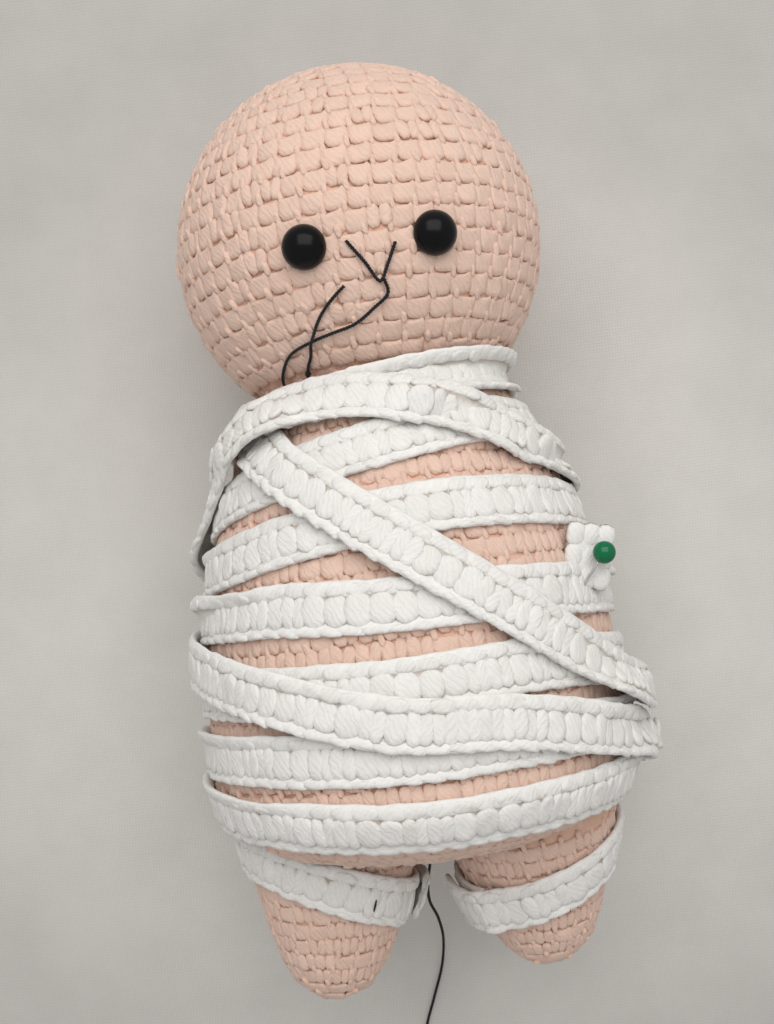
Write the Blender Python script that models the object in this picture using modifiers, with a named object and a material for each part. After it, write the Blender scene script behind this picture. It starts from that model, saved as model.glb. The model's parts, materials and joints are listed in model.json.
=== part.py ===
"""Crochet mummy doll lying on its back, wrapped in one long crochet strip that a ball pin holds.

The doll frame has its origin on the body's axis, near mid-body, with +Y to the top of the head and
+Z out of the face. Left and right are the doll's own, so its left side is at +X.
A turned piece has its own axis on local +Z, which points to the head, and local -Y faces forward.
The whole doll leans on the back of its head and on the strip behind its hips.
"""

import math

import bmesh
import bpy
import numpy as np
from mathutils import Matrix, Vector
from mathutils.bvhtree import BVHTree

# Head, body and crochet fabric, in metres
HEAD_RADIUS = 0.0397
HEAD_CENTRE_Y = 0.0585
HEAD_OPENING = 0.0110
SKIN = 0.0018
BODY_TOP_Y = 0.0320
NECK_Y = 0.0270
NECK_RADIUS = 0.0253
HIP_Y = -0.0529
HIP_RADIUS = 0.0442
BODY_END_Y = -0.0730
CHEST_POWER = 2.5
SEAT_POWER = 3.0

# Legs: the hip ball turns in a socket in the body
LEG_X = 0.0210
LEG_Y = -0.0620
LEG_RADIUS = 0.0205
LEG_LENGTH = 0.0400
LEG_OPENING = 0.0060
LEG_TAPER = 0.56
LEG_TAPER_POWER = 1.1
TOE_POWER = 10.0
RIGHT_LEG_SPLAY = math.radians(5.5)
RIGHT_LEG_DROP = math.radians(2.0)
LEFT_LEG_SPLAY = math.radians(2.0)
LEFT_LEG_DROP = math.radians(12.0)
HIP_SWING = math.radians(6.0)
COLLAR_START = 0.0010

# Crochet strip
STRIP_WIDTH = 0.0104
STRIP_THICKNESS = 0.0016
STATIONS_PER_TURN = 40
LAYER_GAP = 0.0007
SKIN_GAP = 0.00065
THREAD_ROOM = 0.0014
BRIDGE_POWER = 12.0
LEAST_STRIP_GAP = 0.0004

# Eyes with their posts and washers
EYE_RADIUS = 0.0045
EYE_HEIGHT = 0.0041
EYE_RIM = 0.0006
POST_RADIUS = 0.0019
POST_LENGTH = 0.0085
POST_RIBS = 3
POST_RIB_HEIGHT = 0.00025
WASHER_RADIUS = 0.0052
WASHER_THICKNESS = 0.0014
FACE_LONGITUDE = 3.3
EYE_SPREAD = 18.9
EYE_LATITUDE = -11.3

# Ball pin through the end of the strip
PIN_BALL_RADIUS = 0.0023
PIN_RADIUS = 0.0003
PIN_LENGTH = 0.0240
PIN_ANGLE = math.radians(56.0)
PIN_Y = -0.0155
PIN_LEAN = math.radians(40.0)
PIN_SIDE = math.radians(-8.0)

# Thread and fits
THREAD_RADIUS = 0.00035
FIT = 0.0003
STUFFING_GAP = 0.0006
FACET_ROOM = 0.0004
FLAT_DEPTH = 0.0005

SKIN_COLOUR = (0.76, 0.55, 0.42, 1.0)
STUFFING_COLOUR = (0.86, 0.86, 0.84, 1.0)
STRIP_COLOUR = (0.82, 0.80, 0.76, 1.0)
BLACK = (0.010, 0.010, 0.011, 1.0)
WASHER_COLOUR = (0.60, 0.60, 0.60, 1.0)
PIN_GREEN = (0.004, 0.17, 0.07, 1.0)
STEEL = (0.66, 0.66, 0.68, 1.0)

# Route of the strip: turn angle in degrees from the middle of the front, first round the doll's
# right side, and height along the body in millimetres
STRIP_ROUTE = [
    (-180, 17.5), (-90, 14.5), (-29, 13.8), (0, 11.2), (34, 7.6), (72, 3.8), (90, 2.2),
    (180, 0.0), (270, -4.6), (330, -2.9), (349, -2.9), (390, -5.6), (426, -8.9), (450, -9.7),
    (540, -16.5), (630, -22.4), (698, -21.0), (723, -20.9), (757, -19.2), (792, -18.9), (810, -18.9),
    (900, -27.5), (990, -37.2), (1053, -35.3), (1080, -36.0), (1117, -35.1), (1152, -34.0), (1170, -34.0),
    (1260, -40.5), (1350, -48.6), (1401, -48.7), (1448, -48.9), (1489, -47.2), (1530, -46.0),
    (1620, -52.6), (1710, -60.0), (1774, -62.0), (1800, -62.3), (1846, -59.5), (1872, -57.4), (1890, -56.6),
    (1980, -56.2), (2070, -54.6), (2109, -49.8), (2137, -45.3), (2165, -42.9), (2195, -35.9), (2228, -28.9),
    (2250, -26.2), (2340, -35.0), (2410, -43.0), (2440, -43.5), (2462, -39.5), (2480, -31.5), (2496, -22.7),
    (2509, -15.3), (2519, -9.5), (2532, -2.2), (2548, 6.0), (2562, 12.5), (2585, 19.0), (2610, 22.5),
    (2700, 24.8), (2790, 26.4), (2853, 25.0), (2898, 22.6), (2918, 21.4), (2970, 20.0),
    (3060, 13.0), (3150, 4.5), (3187, 9.2), (3213, 16.0), (3240, 20.6), (3258, 21.8), (3278, 21.0),
    (3296, 17.5), (3311, 11.5), (3324, 4.5), (3338, -2.5), (3358, -8.5), (3420, -13.5), (3510, -14.8), (3538, -14.5),
]

# Bands on the legs: middle distance below the hip, tilt and its facing in degrees, and the turn
# angle where the band starts, so that its ends overlap on the inner side
LEG_BANDS = {
    "right": dict(middle=0.0132, tilt=0.0062, facing=0.0, start=225.0),
    "left": dict(middle=0.0175, tilt=-0.0046, facing=25.0, start=45.0),
}
LEG_BAND_OVERLAP = 45.0
LEG_STATIONS_PER_TURN = 24

# Threads on the face: longitude and latitude on the head in degrees, and how far the thread is
# lifted off the head in millimetres; the short tail crosses over the long one
NOSE_ROUTE = [(-3.5, -11.5, 0.0), (1.0, -17.8, 0.0), (5.2, -23.4, 0.0), (7.6, -19.0, 0.0), (10.3, -13.2, 0.0)]
LONG_TAIL_ROUTE = [
    (7.2, -26.6, 0.0), (2.0, -31.0, 0.0), (-4.4, -34.7, 0.0), (-12.6, -36.4, 0.0), (-21.3, -37.9, 0.0),
    (-32.6, -40.7, 0.0), (-39.5, -44.6, 0.0), (-44.8, -48.4, 0.0), (-46.2, -49.9, 0.0),
]
SHORT_TAIL_ROUTE = [
    (-6.1, -23.6, 0.0), (-11.8, -27.7, 0.0), (-16.9, -32.4, 0.0), (-19.3, -35.4, 0.55), (-20.3, -36.7, 0.95),
    (-21.3, -38.0, 1.1), (-22.1, -39.2, 0.95), (-22.9, -40.5, 0.55), (-24.6, -42.7, 0.0), (-27.4, -45.3, 0.0),
    (-30.7, -48.9, 0.0),
]

# Thread between the legs, in the doll frame: across, along, and height over the floor, millimetres
LOOSE_THREAD_ROUTE = [
    (0.0, -72.4, 32.7), (-0.4, -76.0, 32.3), (-1.3, -80.6, 29.6), (-2.4, -86.0, 24.0), (-2.6, -92.0, 17.0),
    (-1.0, -98.0, 10.0), (-0.4, -104.5, 4.5), (-1.6, -112.0, 1.0), (-4.6, -120.0, 0.55),
    (-7.6, -128.0, 0.55), (-8.4, -136.0, 0.55),
]


def clear_scene():
    """Remove whatever the file holds."""
    for item in list(bpy.data.objects):
        bpy.data.objects.remove(item, do_unlink=True)
    for group in list(bpy.data.collections):
        bpy.data.collections.remove(group)


def make_material(name, colour, roughness, metallic=0.0):
    """Return a plain Principled material."""
    material = bpy.data.materials.new(name)
    material.use_nodes = True
    shader = material.node_tree.nodes["Principled BSDF"]
    shader.inputs["Base Color"].default_value = colour
    shader.inputs["Roughness"].default_value = roughness
    shader.inputs["Metallic"].default_value = metallic
    material.diffuse_color = colour
    return material


def add_object(name, mesh, collection, parent, material=None):
    """Link a mesh object under its parent with no placing of its own."""
    item = bpy.data.objects.new(name, mesh)
    collection.objects.link(item)
    item.parent = parent
    if material:
        mesh.materials.append(material)
    return item


def mark_cutter(item):
    """Show a cutter as a wire and leave it out of the model."""
    item.hide_render = True
    item.display_type = "WIRE"


def cut(item, cutter):
    """Take the cutter's shape out of the piece."""
    step = item.modifiers.new("cut by " + cutter.name, "BOOLEAN")
    step.operation = "DIFFERENCE"
    step.solver = "EXACT"
    step.object = cutter


def head_radius_at(y):
    """Radius of the round head at a height along the doll."""
    rise = np.asarray(y, float) - HEAD_CENTRE_Y
    return np.sqrt(np.clip(HEAD_RADIUS**2 - rise**2, 0.0, None))


def body_radius_at(y):
    """Radius of the body: it narrows slowly to the neck and closes in a full curve below the hips."""
    y = np.asarray(y, float)
    rise = np.clip((y - HIP_Y) / (NECK_Y - HIP_Y), 0.0, 1.0 + (BODY_TOP_Y - NECK_Y) / (NECK_Y - HIP_Y))
    chest = HIP_RADIUS - (HIP_RADIUS - NECK_RADIUS) * rise**CHEST_POWER
    fall = np.clip((HIP_Y - y) / (HIP_Y - BODY_END_Y), 0.0, 1.0)
    seat = HIP_RADIUS * (1.0 - fall**SEAT_POWER) ** (1.0 / SEAT_POWER)
    return np.where(y > HIP_Y, chest, seat)


def leg_radius_at(distance):
    """Radius of a leg at a distance below the hip: a ball above it, a blunt taper below."""
    distance = np.asarray(distance, float)
    share = np.clip(distance / LEG_LENGTH, 0.0, 1.0)
    taper = LEG_RADIUS * (1.0 - LEG_TAPER * share**LEG_TAPER_POWER) * np.sqrt(1.0 - share**TOE_POWER)
    ball = np.sqrt(np.clip(LEG_RADIUS**2 - distance**2, 0.0, None))
    return np.where(distance < 0.0, ball, taper)


def torso_wrap_radius(theta, y):
    """Radius that the strip lies on: body, head with room for threads, and the tops of the legs."""
    body = body_radius_at(y)
    head = head_radius_at(y)
    head = np.where(head > 0.0, head + THREAD_ROOM, 0.0)
    leg = leg_radius_at(LEG_Y - y)
    reach = leg**2 - (LEG_X * np.cos(theta)) ** 2
    side = LEG_X * np.abs(np.sin(theta)) + np.sqrt(np.clip(reach, 0.0, None))
    side = np.where(reach > 0.0, side + FIT, 0.0)
    joined = (body**BRIDGE_POWER + head**BRIDGE_POWER) ** (1.0 / BRIDGE_POWER)
    return np.maximum(joined, side)


def leg_wrap_radius(theta, height):
    """Radius that a leg's band lies on, with height measured up from the hip."""
    return leg_radius_at(-np.asarray(height, float)) + 0.0 * theta


def turned_mesh(name, profile, steps, collection, parent, material=None, wall=0.0):
    """Turn a profile of (radius, height) points about local Z, top to bottom."""
    mesh = bpy.data.meshes.new(name)
    verts = [(radius, 0.0, height) for radius, height in profile]
    edges = [(i, i + 1) for i in range(len(verts) - 1)]
    mesh.from_pydata(verts, edges, [])
    item = add_object(name, mesh, collection, parent, material)
    screw = item.modifiers.new("turn", "SCREW")
    screw.axis = "Z"
    screw.steps = steps
    screw.render_steps = steps
    screw.use_merge_vertices = True
    screw.merge_threshold = 0.00001
    screw.use_smooth_shade = True
    if wall:
        shell = item.modifiers.new("wall", "SOLIDIFY")
        shell.thickness = wall
        shell.offset = -1.0
    return item


def along_doll(item, location=(0.0, 0.0, 0.0), turn=None):
    """Lay a turned piece along the doll: its local Z points to the head."""
    placed = Matrix.Translation(location) @ (turn or Matrix.Identity(4))
    item.matrix_local = placed @ Matrix.Rotation(math.radians(-90.0), 4, "X")
    return item


def ball_profile(radius, opening, count):
    """Profile of a ball, top to bottom, open at the bottom where an opening is given."""
    last = math.pi - (math.asin(opening / radius) if opening else 0.0)
    return [
        (max(radius * math.sin(last * i / count), 0.0), radius * math.cos(last * i / count))
        for i in range(count + 1)
    ]


def drawn_in(points, inset):
    """Move the points of a profile inwards, square to it; one on the axis stays on the axis."""
    line = np.array(points, float)
    along = np.gradient(line, axis=0)
    along /= np.linalg.norm(along, axis=1)[:, None]
    moved = line + inset * np.stack([along[:, 1], -along[:, 0]], axis=1)
    last = len(line) - 1
    for end, inward in ((0, -1.0), (last, 1.0)):
        if line[end, 0] < 0.000001:
            moved[end] = (0.0, line[end, 1] + inward * inset)
    return [(max(float(radius), 0.0), float(height)) for radius, height in moved]


def body_profile(count_up, count_down):
    """Profile of the body, top to bottom."""
    points = []
    for i in range(count_up):
        y = BODY_TOP_Y + (HIP_Y - BODY_TOP_Y) * i / count_up
        points.append((float(body_radius_at(y)), y))
    for i in range(count_down + 1):
        angle = 0.5 * math.pi * i / count_down
        fall = math.sin(angle) ** (2.0 / SEAT_POWER)
        across = math.cos(angle) ** (2.0 / SEAT_POWER) if i < count_down else 0.0
        points.append((HIP_RADIUS * across, HIP_Y - (HIP_Y - BODY_END_Y) * fall))
    return points


def leg_profile(grow, opening, count_ball, count_leg, collar=0.0, swing=0.0):
    """Profile of a leg, top to bottom; grow enlarges it, and collar and swing widen a cutter."""
    radius = LEG_RADIUS + grow
    first = math.asin(opening / radius) if opening else 0.0
    points = []
    for i in range(count_ball + 1):
        angle = first + (0.5 * math.pi - first) * i / count_ball
        points.append((radius * math.sin(angle) if opening or i else 0.0, radius * math.cos(angle)))
    if collar:
        points.append((radius, -COLLAR_START))
        points.append((radius + collar, -COLLAR_START))
    start = COLLAR_START if collar else 0.0
    for i in range(1, count_leg + 1):
        share = 1.0 - (1.0 - i / count_leg) ** 2
        distance = start + (LEG_LENGTH - start) * share
        wide = float(leg_radius_at(distance)) + grow + collar + distance * math.sin(swing)
        if i == count_leg:
            wide = 0.0
        points.append((wide, -distance - grow * share))
    return points


def smooth_values(angles, controls):
    """Read a smooth curve through (angle, value) controls at the given angles."""
    knots = np.array([c[0] for c in controls], float)
    values = np.array([c[1] for c in controls], float)
    slopes = np.gradient(values, knots)
    index = np.clip(np.searchsorted(knots, angles, side="right") - 1, 0, len(knots) - 2)
    span = knots[index + 1] - knots[index]
    t = (angles - knots[index]) / span
    first = (1 + 2 * t) * (1 - t) ** 2 * values[index] + t * (1 - t) ** 2 * span * slopes[index]
    second = t * t * (3 - 2 * t) * values[index + 1] + t * t * (t - 1) * span * slopes[index + 1]
    return first + second


class Strip:
    """A flat strip wound on a turned surface, each turn lying on what was wound before it."""

    SUB = 12
    ACROSS = 33
    CELL = 0.0005
    MARGIN = 0.0009
    LOW = -0.080
    HIGH = 0.045

    def __init__(self, angles, heights, surface, stations_per_turn):
        self.surface = surface
        self.lag = stations_per_turn // 4
        self.theta = -np.radians(angles)
        self.height = heights
        self.lay_out_stations()
        self.find_lifts()

    def slant(self, theta, height):
        """Length of the surface for one unit of height."""
        step = 0.0005
        rise = self.surface(theta, height + step) - self.surface(theta, height - step)
        return np.minimum(np.sqrt(1.0 + (rise / (2.0 * step)) ** 2), 2.0)

    def lay_out_stations(self):
        """Find the directions across the strip, in angle and height, at each station."""
        radius = self.surface(self.theta, self.height)
        slant = self.slant(self.theta, self.height)
        around = np.gradient(self.theta) * radius
        up = np.gradient(self.height) * slant
        length = np.hypot(around, up)
        self.across_theta = -up / length / radius
        self.across_height = around / length / slant

    def chart(self, u, v):
        """Angle and height of a point at station number u and distance v across."""
        numbers = np.arange(len(self.theta))
        theta = np.interp(u, numbers, self.theta) + v * np.interp(u, numbers, self.across_theta)
        height = np.interp(u, numbers, self.height) + v * np.interp(u, numbers, self.across_height)
        return theta, height

    def cells(self, theta, height):
        """Cell numbers of the height map."""
        column = np.round(np.degrees(theta)).astype(int) % 360
        row = np.round((height - self.LOW) / self.CELL).astype(int)
        rows = int((self.HIGH - self.LOW) / self.CELL)
        return np.clip(row, 0, rows - 1), column

    def find_lifts(self):
        """Wind the strip station by station; each point lies on the highest turn beneath it."""
        count = len(self.theta)
        rows = int((self.HIGH - self.LOW) / self.CELL)
        top = np.full((rows, 360), SKIN_GAP)
        half = STRIP_WIDTH / 2.0
        reach = np.linspace(-half - self.MARGIN, half + self.MARGIN, self.ACROSS)
        u = np.arange((count - 1) * self.SUB + 1) / self.SUB
        u_grid, v_grid = np.meshgrid(u, reach, indexing="ij")
        theta, height = self.chart(u_grid, v_grid)
        row, column = self.cells(theta, height)
        build_up = (STRIP_THICKNESS + LAYER_GAP) * self.slant(theta, height)
        middle = self.ACROSS // 2
        windows = [slice(0, middle + 1), slice(0, self.ACROSS), slice(middle, self.ACROSS)]
        lift = np.zeros((count, 3))
        for station in range(count):
            near = slice(max((station - 1) * self.SUB, 0), (station + 1) * self.SUB + 1)
            for side, window in enumerate(windows):
                lift[station, side] = top[row[near, window], column[near, window]].max()
            done = station - self.lag
            if done > 0:
                self.add_to_map(top, row, column, build_up, lift, done, reach / half)
        self.lift = lift

    def add_to_map(self, top, row, column, build_up, lift, station, shares):
        """Raise the height map by the stretch of strip that ends at a station."""
        near = slice((station - 1) * self.SUB, station * self.SUB + 1)
        t = np.linspace(0.0, 1.0, self.SUB + 1)[:, None]
        sides = lift[station - 1] * (1.0 - t) + lift[station] * t
        place = np.clip(shares, -1.0, 1.0)
        across = np.array([np.interp(place, (-1.0, 0.0, 1.0), side) for side in sides])
        np.maximum.at(top, (row[near], column[near]), across + build_up[near])

    def points(self):
        """Points of the underside, station by station, three across."""
        numbers = np.arange(len(self.theta))
        rows = []
        for side, v in enumerate((-STRIP_WIDTH / 2.0, 0.0, STRIP_WIDTH / 2.0)):
            theta, height = self.chart(numbers, v)
            radius = self.surface(theta, height) + self.lift[:, side]
            rows.append(np.stack([radius * np.sin(theta), -radius * np.cos(theta), height], axis=-1))
        return np.stack(rows, axis=1)


def strip_object(name, strip, collection, parent, material):
    """Make the strip: a grid on the wound points, given its thickness outwards."""
    points = strip.points()
    count = len(points)
    grid = bmesh.new()
    bmesh.ops.create_grid(grid, x_segments=count - 1, y_segments=2, size=1.0)
    for vert in grid.verts:
        station = round((vert.co.x + 1.0) / 2.0 * (count - 1))
        side = round(vert.co.y + 1.0)
        vert.co = Vector(points[station][side])
    grid.normal_update()
    grid.faces.ensure_lookup_table()
    face = grid.faces[0]
    centre = face.calc_center_median()
    if face.normal.dot(Vector((centre.x, centre.y, 0.0))) < 0.0:
        bmesh.ops.reverse_faces(grid, faces=grid.faces)
    mesh = bpy.data.meshes.new(name)
    grid.to_mesh(mesh)
    grid.free()
    item = add_object(name, mesh, collection, parent, material)
    shell = item.modifiers.new("thickness", "SOLIDIFY")
    shell.thickness = STRIP_THICKNESS
    shell.offset = 1.0
    return item


def least_gap(strip):
    """Least distance between turns of the strip, measured on points of both of its sides."""
    under = strip.points()
    along = np.gradient(under, axis=0)
    across = np.gradient(under, axis=1)
    normal = np.cross(along, across)
    normal /= np.linalg.norm(normal, axis=2)[:, :, None]
    outward = np.sign((normal * (under * (1.0, 1.0, 0.0))).sum(axis=2))[:, :, None]
    over = under + normal * outward * STRIP_THICKNESS
    count = len(under)
    block = strip.lag
    least = 1.0
    for start in range(0, count, block):
        first = start + 2 * block
        if first >= count - 1:
            break
        verts = [Vector(p) for layer in (under, over) for p in layer[first:].reshape(-1, 3)]
        length = count - first
        faces = [
            (layer + 3 * i + j, layer + 3 * i + 3 + j, layer + 3 * i + 4 + j, layer + 3 * i + 1 + j)
            for layer in (0, 3 * length)
            for i in range(length - 1)
            for j in range(2)
        ]
        tree = BVHTree.FromPolygons(verts, faces)
        for layer in (under, over):
            part = layer[start:start + block]
            probes = np.concatenate([part.reshape(-1, 3), (0.5 * (part[:, :2] + part[:, 1:])).reshape(-1, 3)])
            for probe in probes:
                hit = tree.find_nearest(Vector(probe), 0.004)
                if hit[3] is not None:
                    least = min(least, hit[3])
    return least


def thread_object(name, points, radius, collection, parent, material):
    """Make a thread: a thin tube along points, closed at both ends."""
    curve = bpy.data.curves.new(name, "CURVE")
    curve.dimensions = "3D"
    curve.bevel_depth = radius
    curve.bevel_resolution = 2
    curve.use_fill_caps = True
    line = curve.splines.new("POLY")
    line.points.add(len(points) - 1)
    for node, point in zip(line.points, points):
        node.co = (*point, 1.0)
    holder = bpy.data.objects.new(name + "_line", curve)
    collection.objects.link(holder)
    bpy.context.view_layer.update()
    mesh = bpy.data.meshes.new_from_object(holder.evaluated_get(bpy.context.evaluated_depsgraph_get()))
    bpy.data.objects.remove(holder, do_unlink=True)
    bpy.data.curves.remove(curve)
    tube = bmesh.new()
    tube.from_mesh(mesh)
    bmesh.ops.remove_doubles(tube, verts=tube.verts, dist=0.000001)
    tube.to_mesh(mesh)
    tube.free()
    mesh.name = name
    mesh.shade_smooth()
    return add_object(name, mesh, collection, parent, material)


def smooth_route(controls, count):
    """Read evenly spread points from a smooth curve through control points."""
    controls = np.array(controls, float)
    steps = np.linalg.norm(np.diff(controls, axis=0), axis=1)
    knots = np.concatenate([[0.0], np.cumsum(steps)])
    places = np.linspace(0.0, knots[-1], count)
    return np.stack(
        [smooth_values(places, list(zip(knots, controls[:, k]))) for k in range(controls.shape[1])], axis=1
    )


def on_head(longitude, latitude, height):
    """Point over the head's surface, from the head's centre, in the doll frame."""
    radius = HEAD_RADIUS + height
    lon = math.radians(longitude)
    lat = math.radians(latitude)
    return Vector((
        radius * math.cos(lat) * math.sin(lon),
        radius * math.sin(lat),
        radius * math.cos(lat) * math.cos(lon),
    ))


def head_thread(name, route, count, collection, parent, material):
    """Lay a thread on the face along longitudes and latitudes."""
    rise = FIT + THREAD_RADIUS
    points = [on_head(lon, lat, rise + lift * 0.001) for lon, lat, lift in smooth_route(route, count)]
    return thread_object(name, points, THREAD_RADIUS, collection, parent, material)


def add_head(part, cutters, axis, looks):
    """Crochet ball with its stuffing, both open or rounded towards the neck."""
    skin = turned_mesh("head_skin", ball_profile(HEAD_RADIUS, HEAD_OPENING, 15), 32, part, axis, looks["skin"], SKIN)
    along_doll(skin)
    inner = HEAD_RADIUS - SKIN - STUFFING_GAP
    stuffing = turned_mesh("head_stuffing", ball_profile(inner, 0.0, 10), 20, part, axis, looks["stuffing"])
    along_doll(stuffing)
    return skin, stuffing


def eye_profile():
    """Dome, rim and flat back of an eye, then its ribbed post, top to bottom."""
    points = []
    for i in range(7):
        angle = 0.5 * math.pi * i / 6
        points.append((EYE_RADIUS * math.sin(angle), EYE_RIM + EYE_HEIGHT * math.cos(angle)))
    points.append((EYE_RADIUS * 0.93, 0.0))
    points.append((POST_RADIUS, 0.0))
    pitch = POST_LENGTH / (POST_RIBS + 2)
    for rib in range(POST_RIBS):
        base = -pitch * (rib + 1.5)
        points.append((POST_RADIUS, base))
        points.append((POST_RADIUS + POST_RIB_HEIGHT, base - 0.35 * pitch))
        points.append((POST_RADIUS, base - 0.45 * pitch))
    points.append((POST_RADIUS * 0.8, -POST_LENGTH))
    points.append((0.0, -POST_LENGTH))
    return points


def washer_profile():
    """Closed ring section of a washer with a raised cup round its bore."""
    bore = POST_RADIUS + POST_RIB_HEIGHT + FIT
    half = WASHER_THICKNESS / 2.0
    return [
        (bore, half), (bore + 0.0012, half), (WASHER_RADIUS, 0.3 * half), (WASHER_RADIUS, -0.5 * half),
        (bore + 0.0016, -half), (bore + 0.0014, -half - 0.0010), (bore, -half - 0.0010), (bore, half),
    ]


def add_eyes(part, cutters, axis, head, looks):
    """Two domed eyes whose posts pass the fabric and take a washer inside."""
    skin, stuffing = head
    for side, name in ((-1, "right"), (1, "left")):
        direction = on_head(FACE_LONGITUDE + side * EYE_SPREAD, EYE_LATITUDE, 0.0).normalized()
        aim = direction.to_track_quat("Z", "Y").to_matrix().to_4x4()
        seat = Matrix.Translation(direction * (HEAD_RADIUS + FIT)) @ aim
        eye = turned_mesh(name + "_eye", eye_profile(), 16, part, axis, looks["eye"])
        eye.matrix_local = seat
        depth = -FIT - SKIN - FIT - WASHER_THICKNESS / 2.0 - 0.0004
        washer = turned_mesh(name + "_eye_washer", washer_profile(), 16, part, axis, looks["washer"])
        washer.matrix_local = seat @ Matrix.Translation((0.0, 0.0, depth))
        post_hole = POST_RADIUS + POST_RIB_HEIGHT + FIT
        hole = turned_mesh(
            name + "_eye_hole",
            [(0.0, 0.0030), (post_hole, 0.0030), (post_hole, -POST_LENGTH - FIT), (0.0, -POST_LENGTH - FIT)],
            16, cutters, axis,
        )
        hole.matrix_local = seat
        room = turned_mesh(
            name + "_eye_room",
            [(0.0, 0.0030), (WASHER_RADIUS + FIT, 0.0030), (WASHER_RADIUS + FIT, depth - 0.0022),
             (post_hole, depth - 0.0022), (post_hole, -POST_LENGTH - FIT), (0.0, -POST_LENGTH - FIT)],
            16, cutters, axis,
        )
        room.matrix_local = seat
        mark_cutter(hole)
        mark_cutter(room)
        cut(skin, hole)
        cut(stuffing, room)


def add_body(part, cutters, doll, looks):
    """Open crochet bag and its stuffing, hollowed where the head and the legs sit."""
    outline = body_profile(9, 6)
    skin = turned_mesh("body_skin", outline, 32, part, doll, looks["skin"], SKIN)
    along_doll(skin)
    core = drawn_in(outline, SKIN + STUFFING_GAP)
    core.insert(0, (0.0, core[0][1]))
    stuffing = turned_mesh("body_stuffing", core, 24, part, doll, looks["stuffing"])
    along_doll(stuffing)
    seat = turned_mesh("head_seat", ball_profile(HEAD_RADIUS + FIT + FACET_ROOM, 0.0, 16), 32, cutters, doll)
    along_doll(seat, (0.0, HEAD_CENTRE_Y, 0.0))
    mark_cutter(seat)
    cut(skin, seat)
    cut(stuffing, seat)
    return skin, stuffing


def leg_turn(side, splay, drop):
    """Rotation of a leg from straight down the doll: splayed outwards and dropped backwards."""
    return Matrix.Rotation(drop, 4, "X") @ Matrix.Rotation(side * splay, 4, "Z")


def add_leg(name, side, splay, drop, part, cutters, doll, body, looks):
    """Leg with its stuffing and its band, hung on its hip, and its socket in the body."""
    hip = bpy.data.objects.new(name + "_hip", None)
    part.objects.link(hip)
    hip.parent = doll
    hip.location = (side * LEG_X, LEG_Y, 0.0)
    turn = leg_turn(side, splay, drop)
    skin = turned_mesh(
        name + "_leg_skin", leg_profile(0.0, LEG_OPENING, 4, 7), 20, part, hip, looks["skin"], SKIN
    )
    along_doll(skin, turn=turn)
    core = drawn_in(leg_profile(0.0, 0.0, 3, 4), SKIN + STUFFING_GAP)
    stuffing = turned_mesh(name + "_leg_stuffing", core, 16, part, hip, looks["stuffing"])
    along_doll(stuffing, turn=turn)
    collar = SKIN_GAP + STRIP_THICKNESS + LAYER_GAP + FIT
    socket = turned_mesh(
        name + "_leg_socket", leg_profile(FIT + FACET_ROOM, 0.0, 6, 5, collar, HIP_SWING), 24, cutters, hip
    )
    along_doll(socket, turn=turn)
    mark_cutter(socket)
    for piece in body:
        cut(piece, socket)
    band = LEG_BANDS[name]
    step = 360.0 / LEG_STATIONS_PER_TURN
    angles = band["start"] + step * np.arange(round((360.0 + LEG_BAND_OVERLAP) / step) + 1)
    wave = np.sin(np.radians(-angles - band["facing"]))
    strip = Strip(angles, -(band["middle"] + band["tilt"] * wave), leg_wrap_radius, LEG_STATIONS_PER_TURN)
    wrap = strip_object(name + "_leg_bandage", strip, part, hip, looks["strip"])
    along_doll(wrap, turn=turn)
    return strip


def add_torso_bandage(part, doll, looks):
    """The long strip, wound from behind the neck down to the hips and back up to the pin."""
    step = 360.0 / STATIONS_PER_TURN
    first, last = STRIP_ROUTE[0][0], STRIP_ROUTE[-1][0]
    angles = np.arange(first, last + 0.5 * step, step)
    heights = smooth_values(angles, STRIP_ROUTE) * 0.001
    strip = Strip(angles, heights, torso_wrap_radius, STATIONS_PER_TURN)
    return strip, along_doll(strip_object("bandage", strip, part, doll, looks["strip"]))


def strip_top_at(strip, angle, y):
    """Radius of the outermost strip surface near an angle and height of the body."""
    points = strip.points()
    theta = np.arctan2(points[:, :, 0], -points[:, :, 1])
    off = np.hypot((theta - angle) * HIP_RADIUS, points[:, :, 2] - y)
    near = np.hypot(points[:, :, 0], points[:, :, 1])[off < 0.8 * STRIP_WIDTH]
    return float(near.max()) + STRIP_THICKNESS


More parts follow.
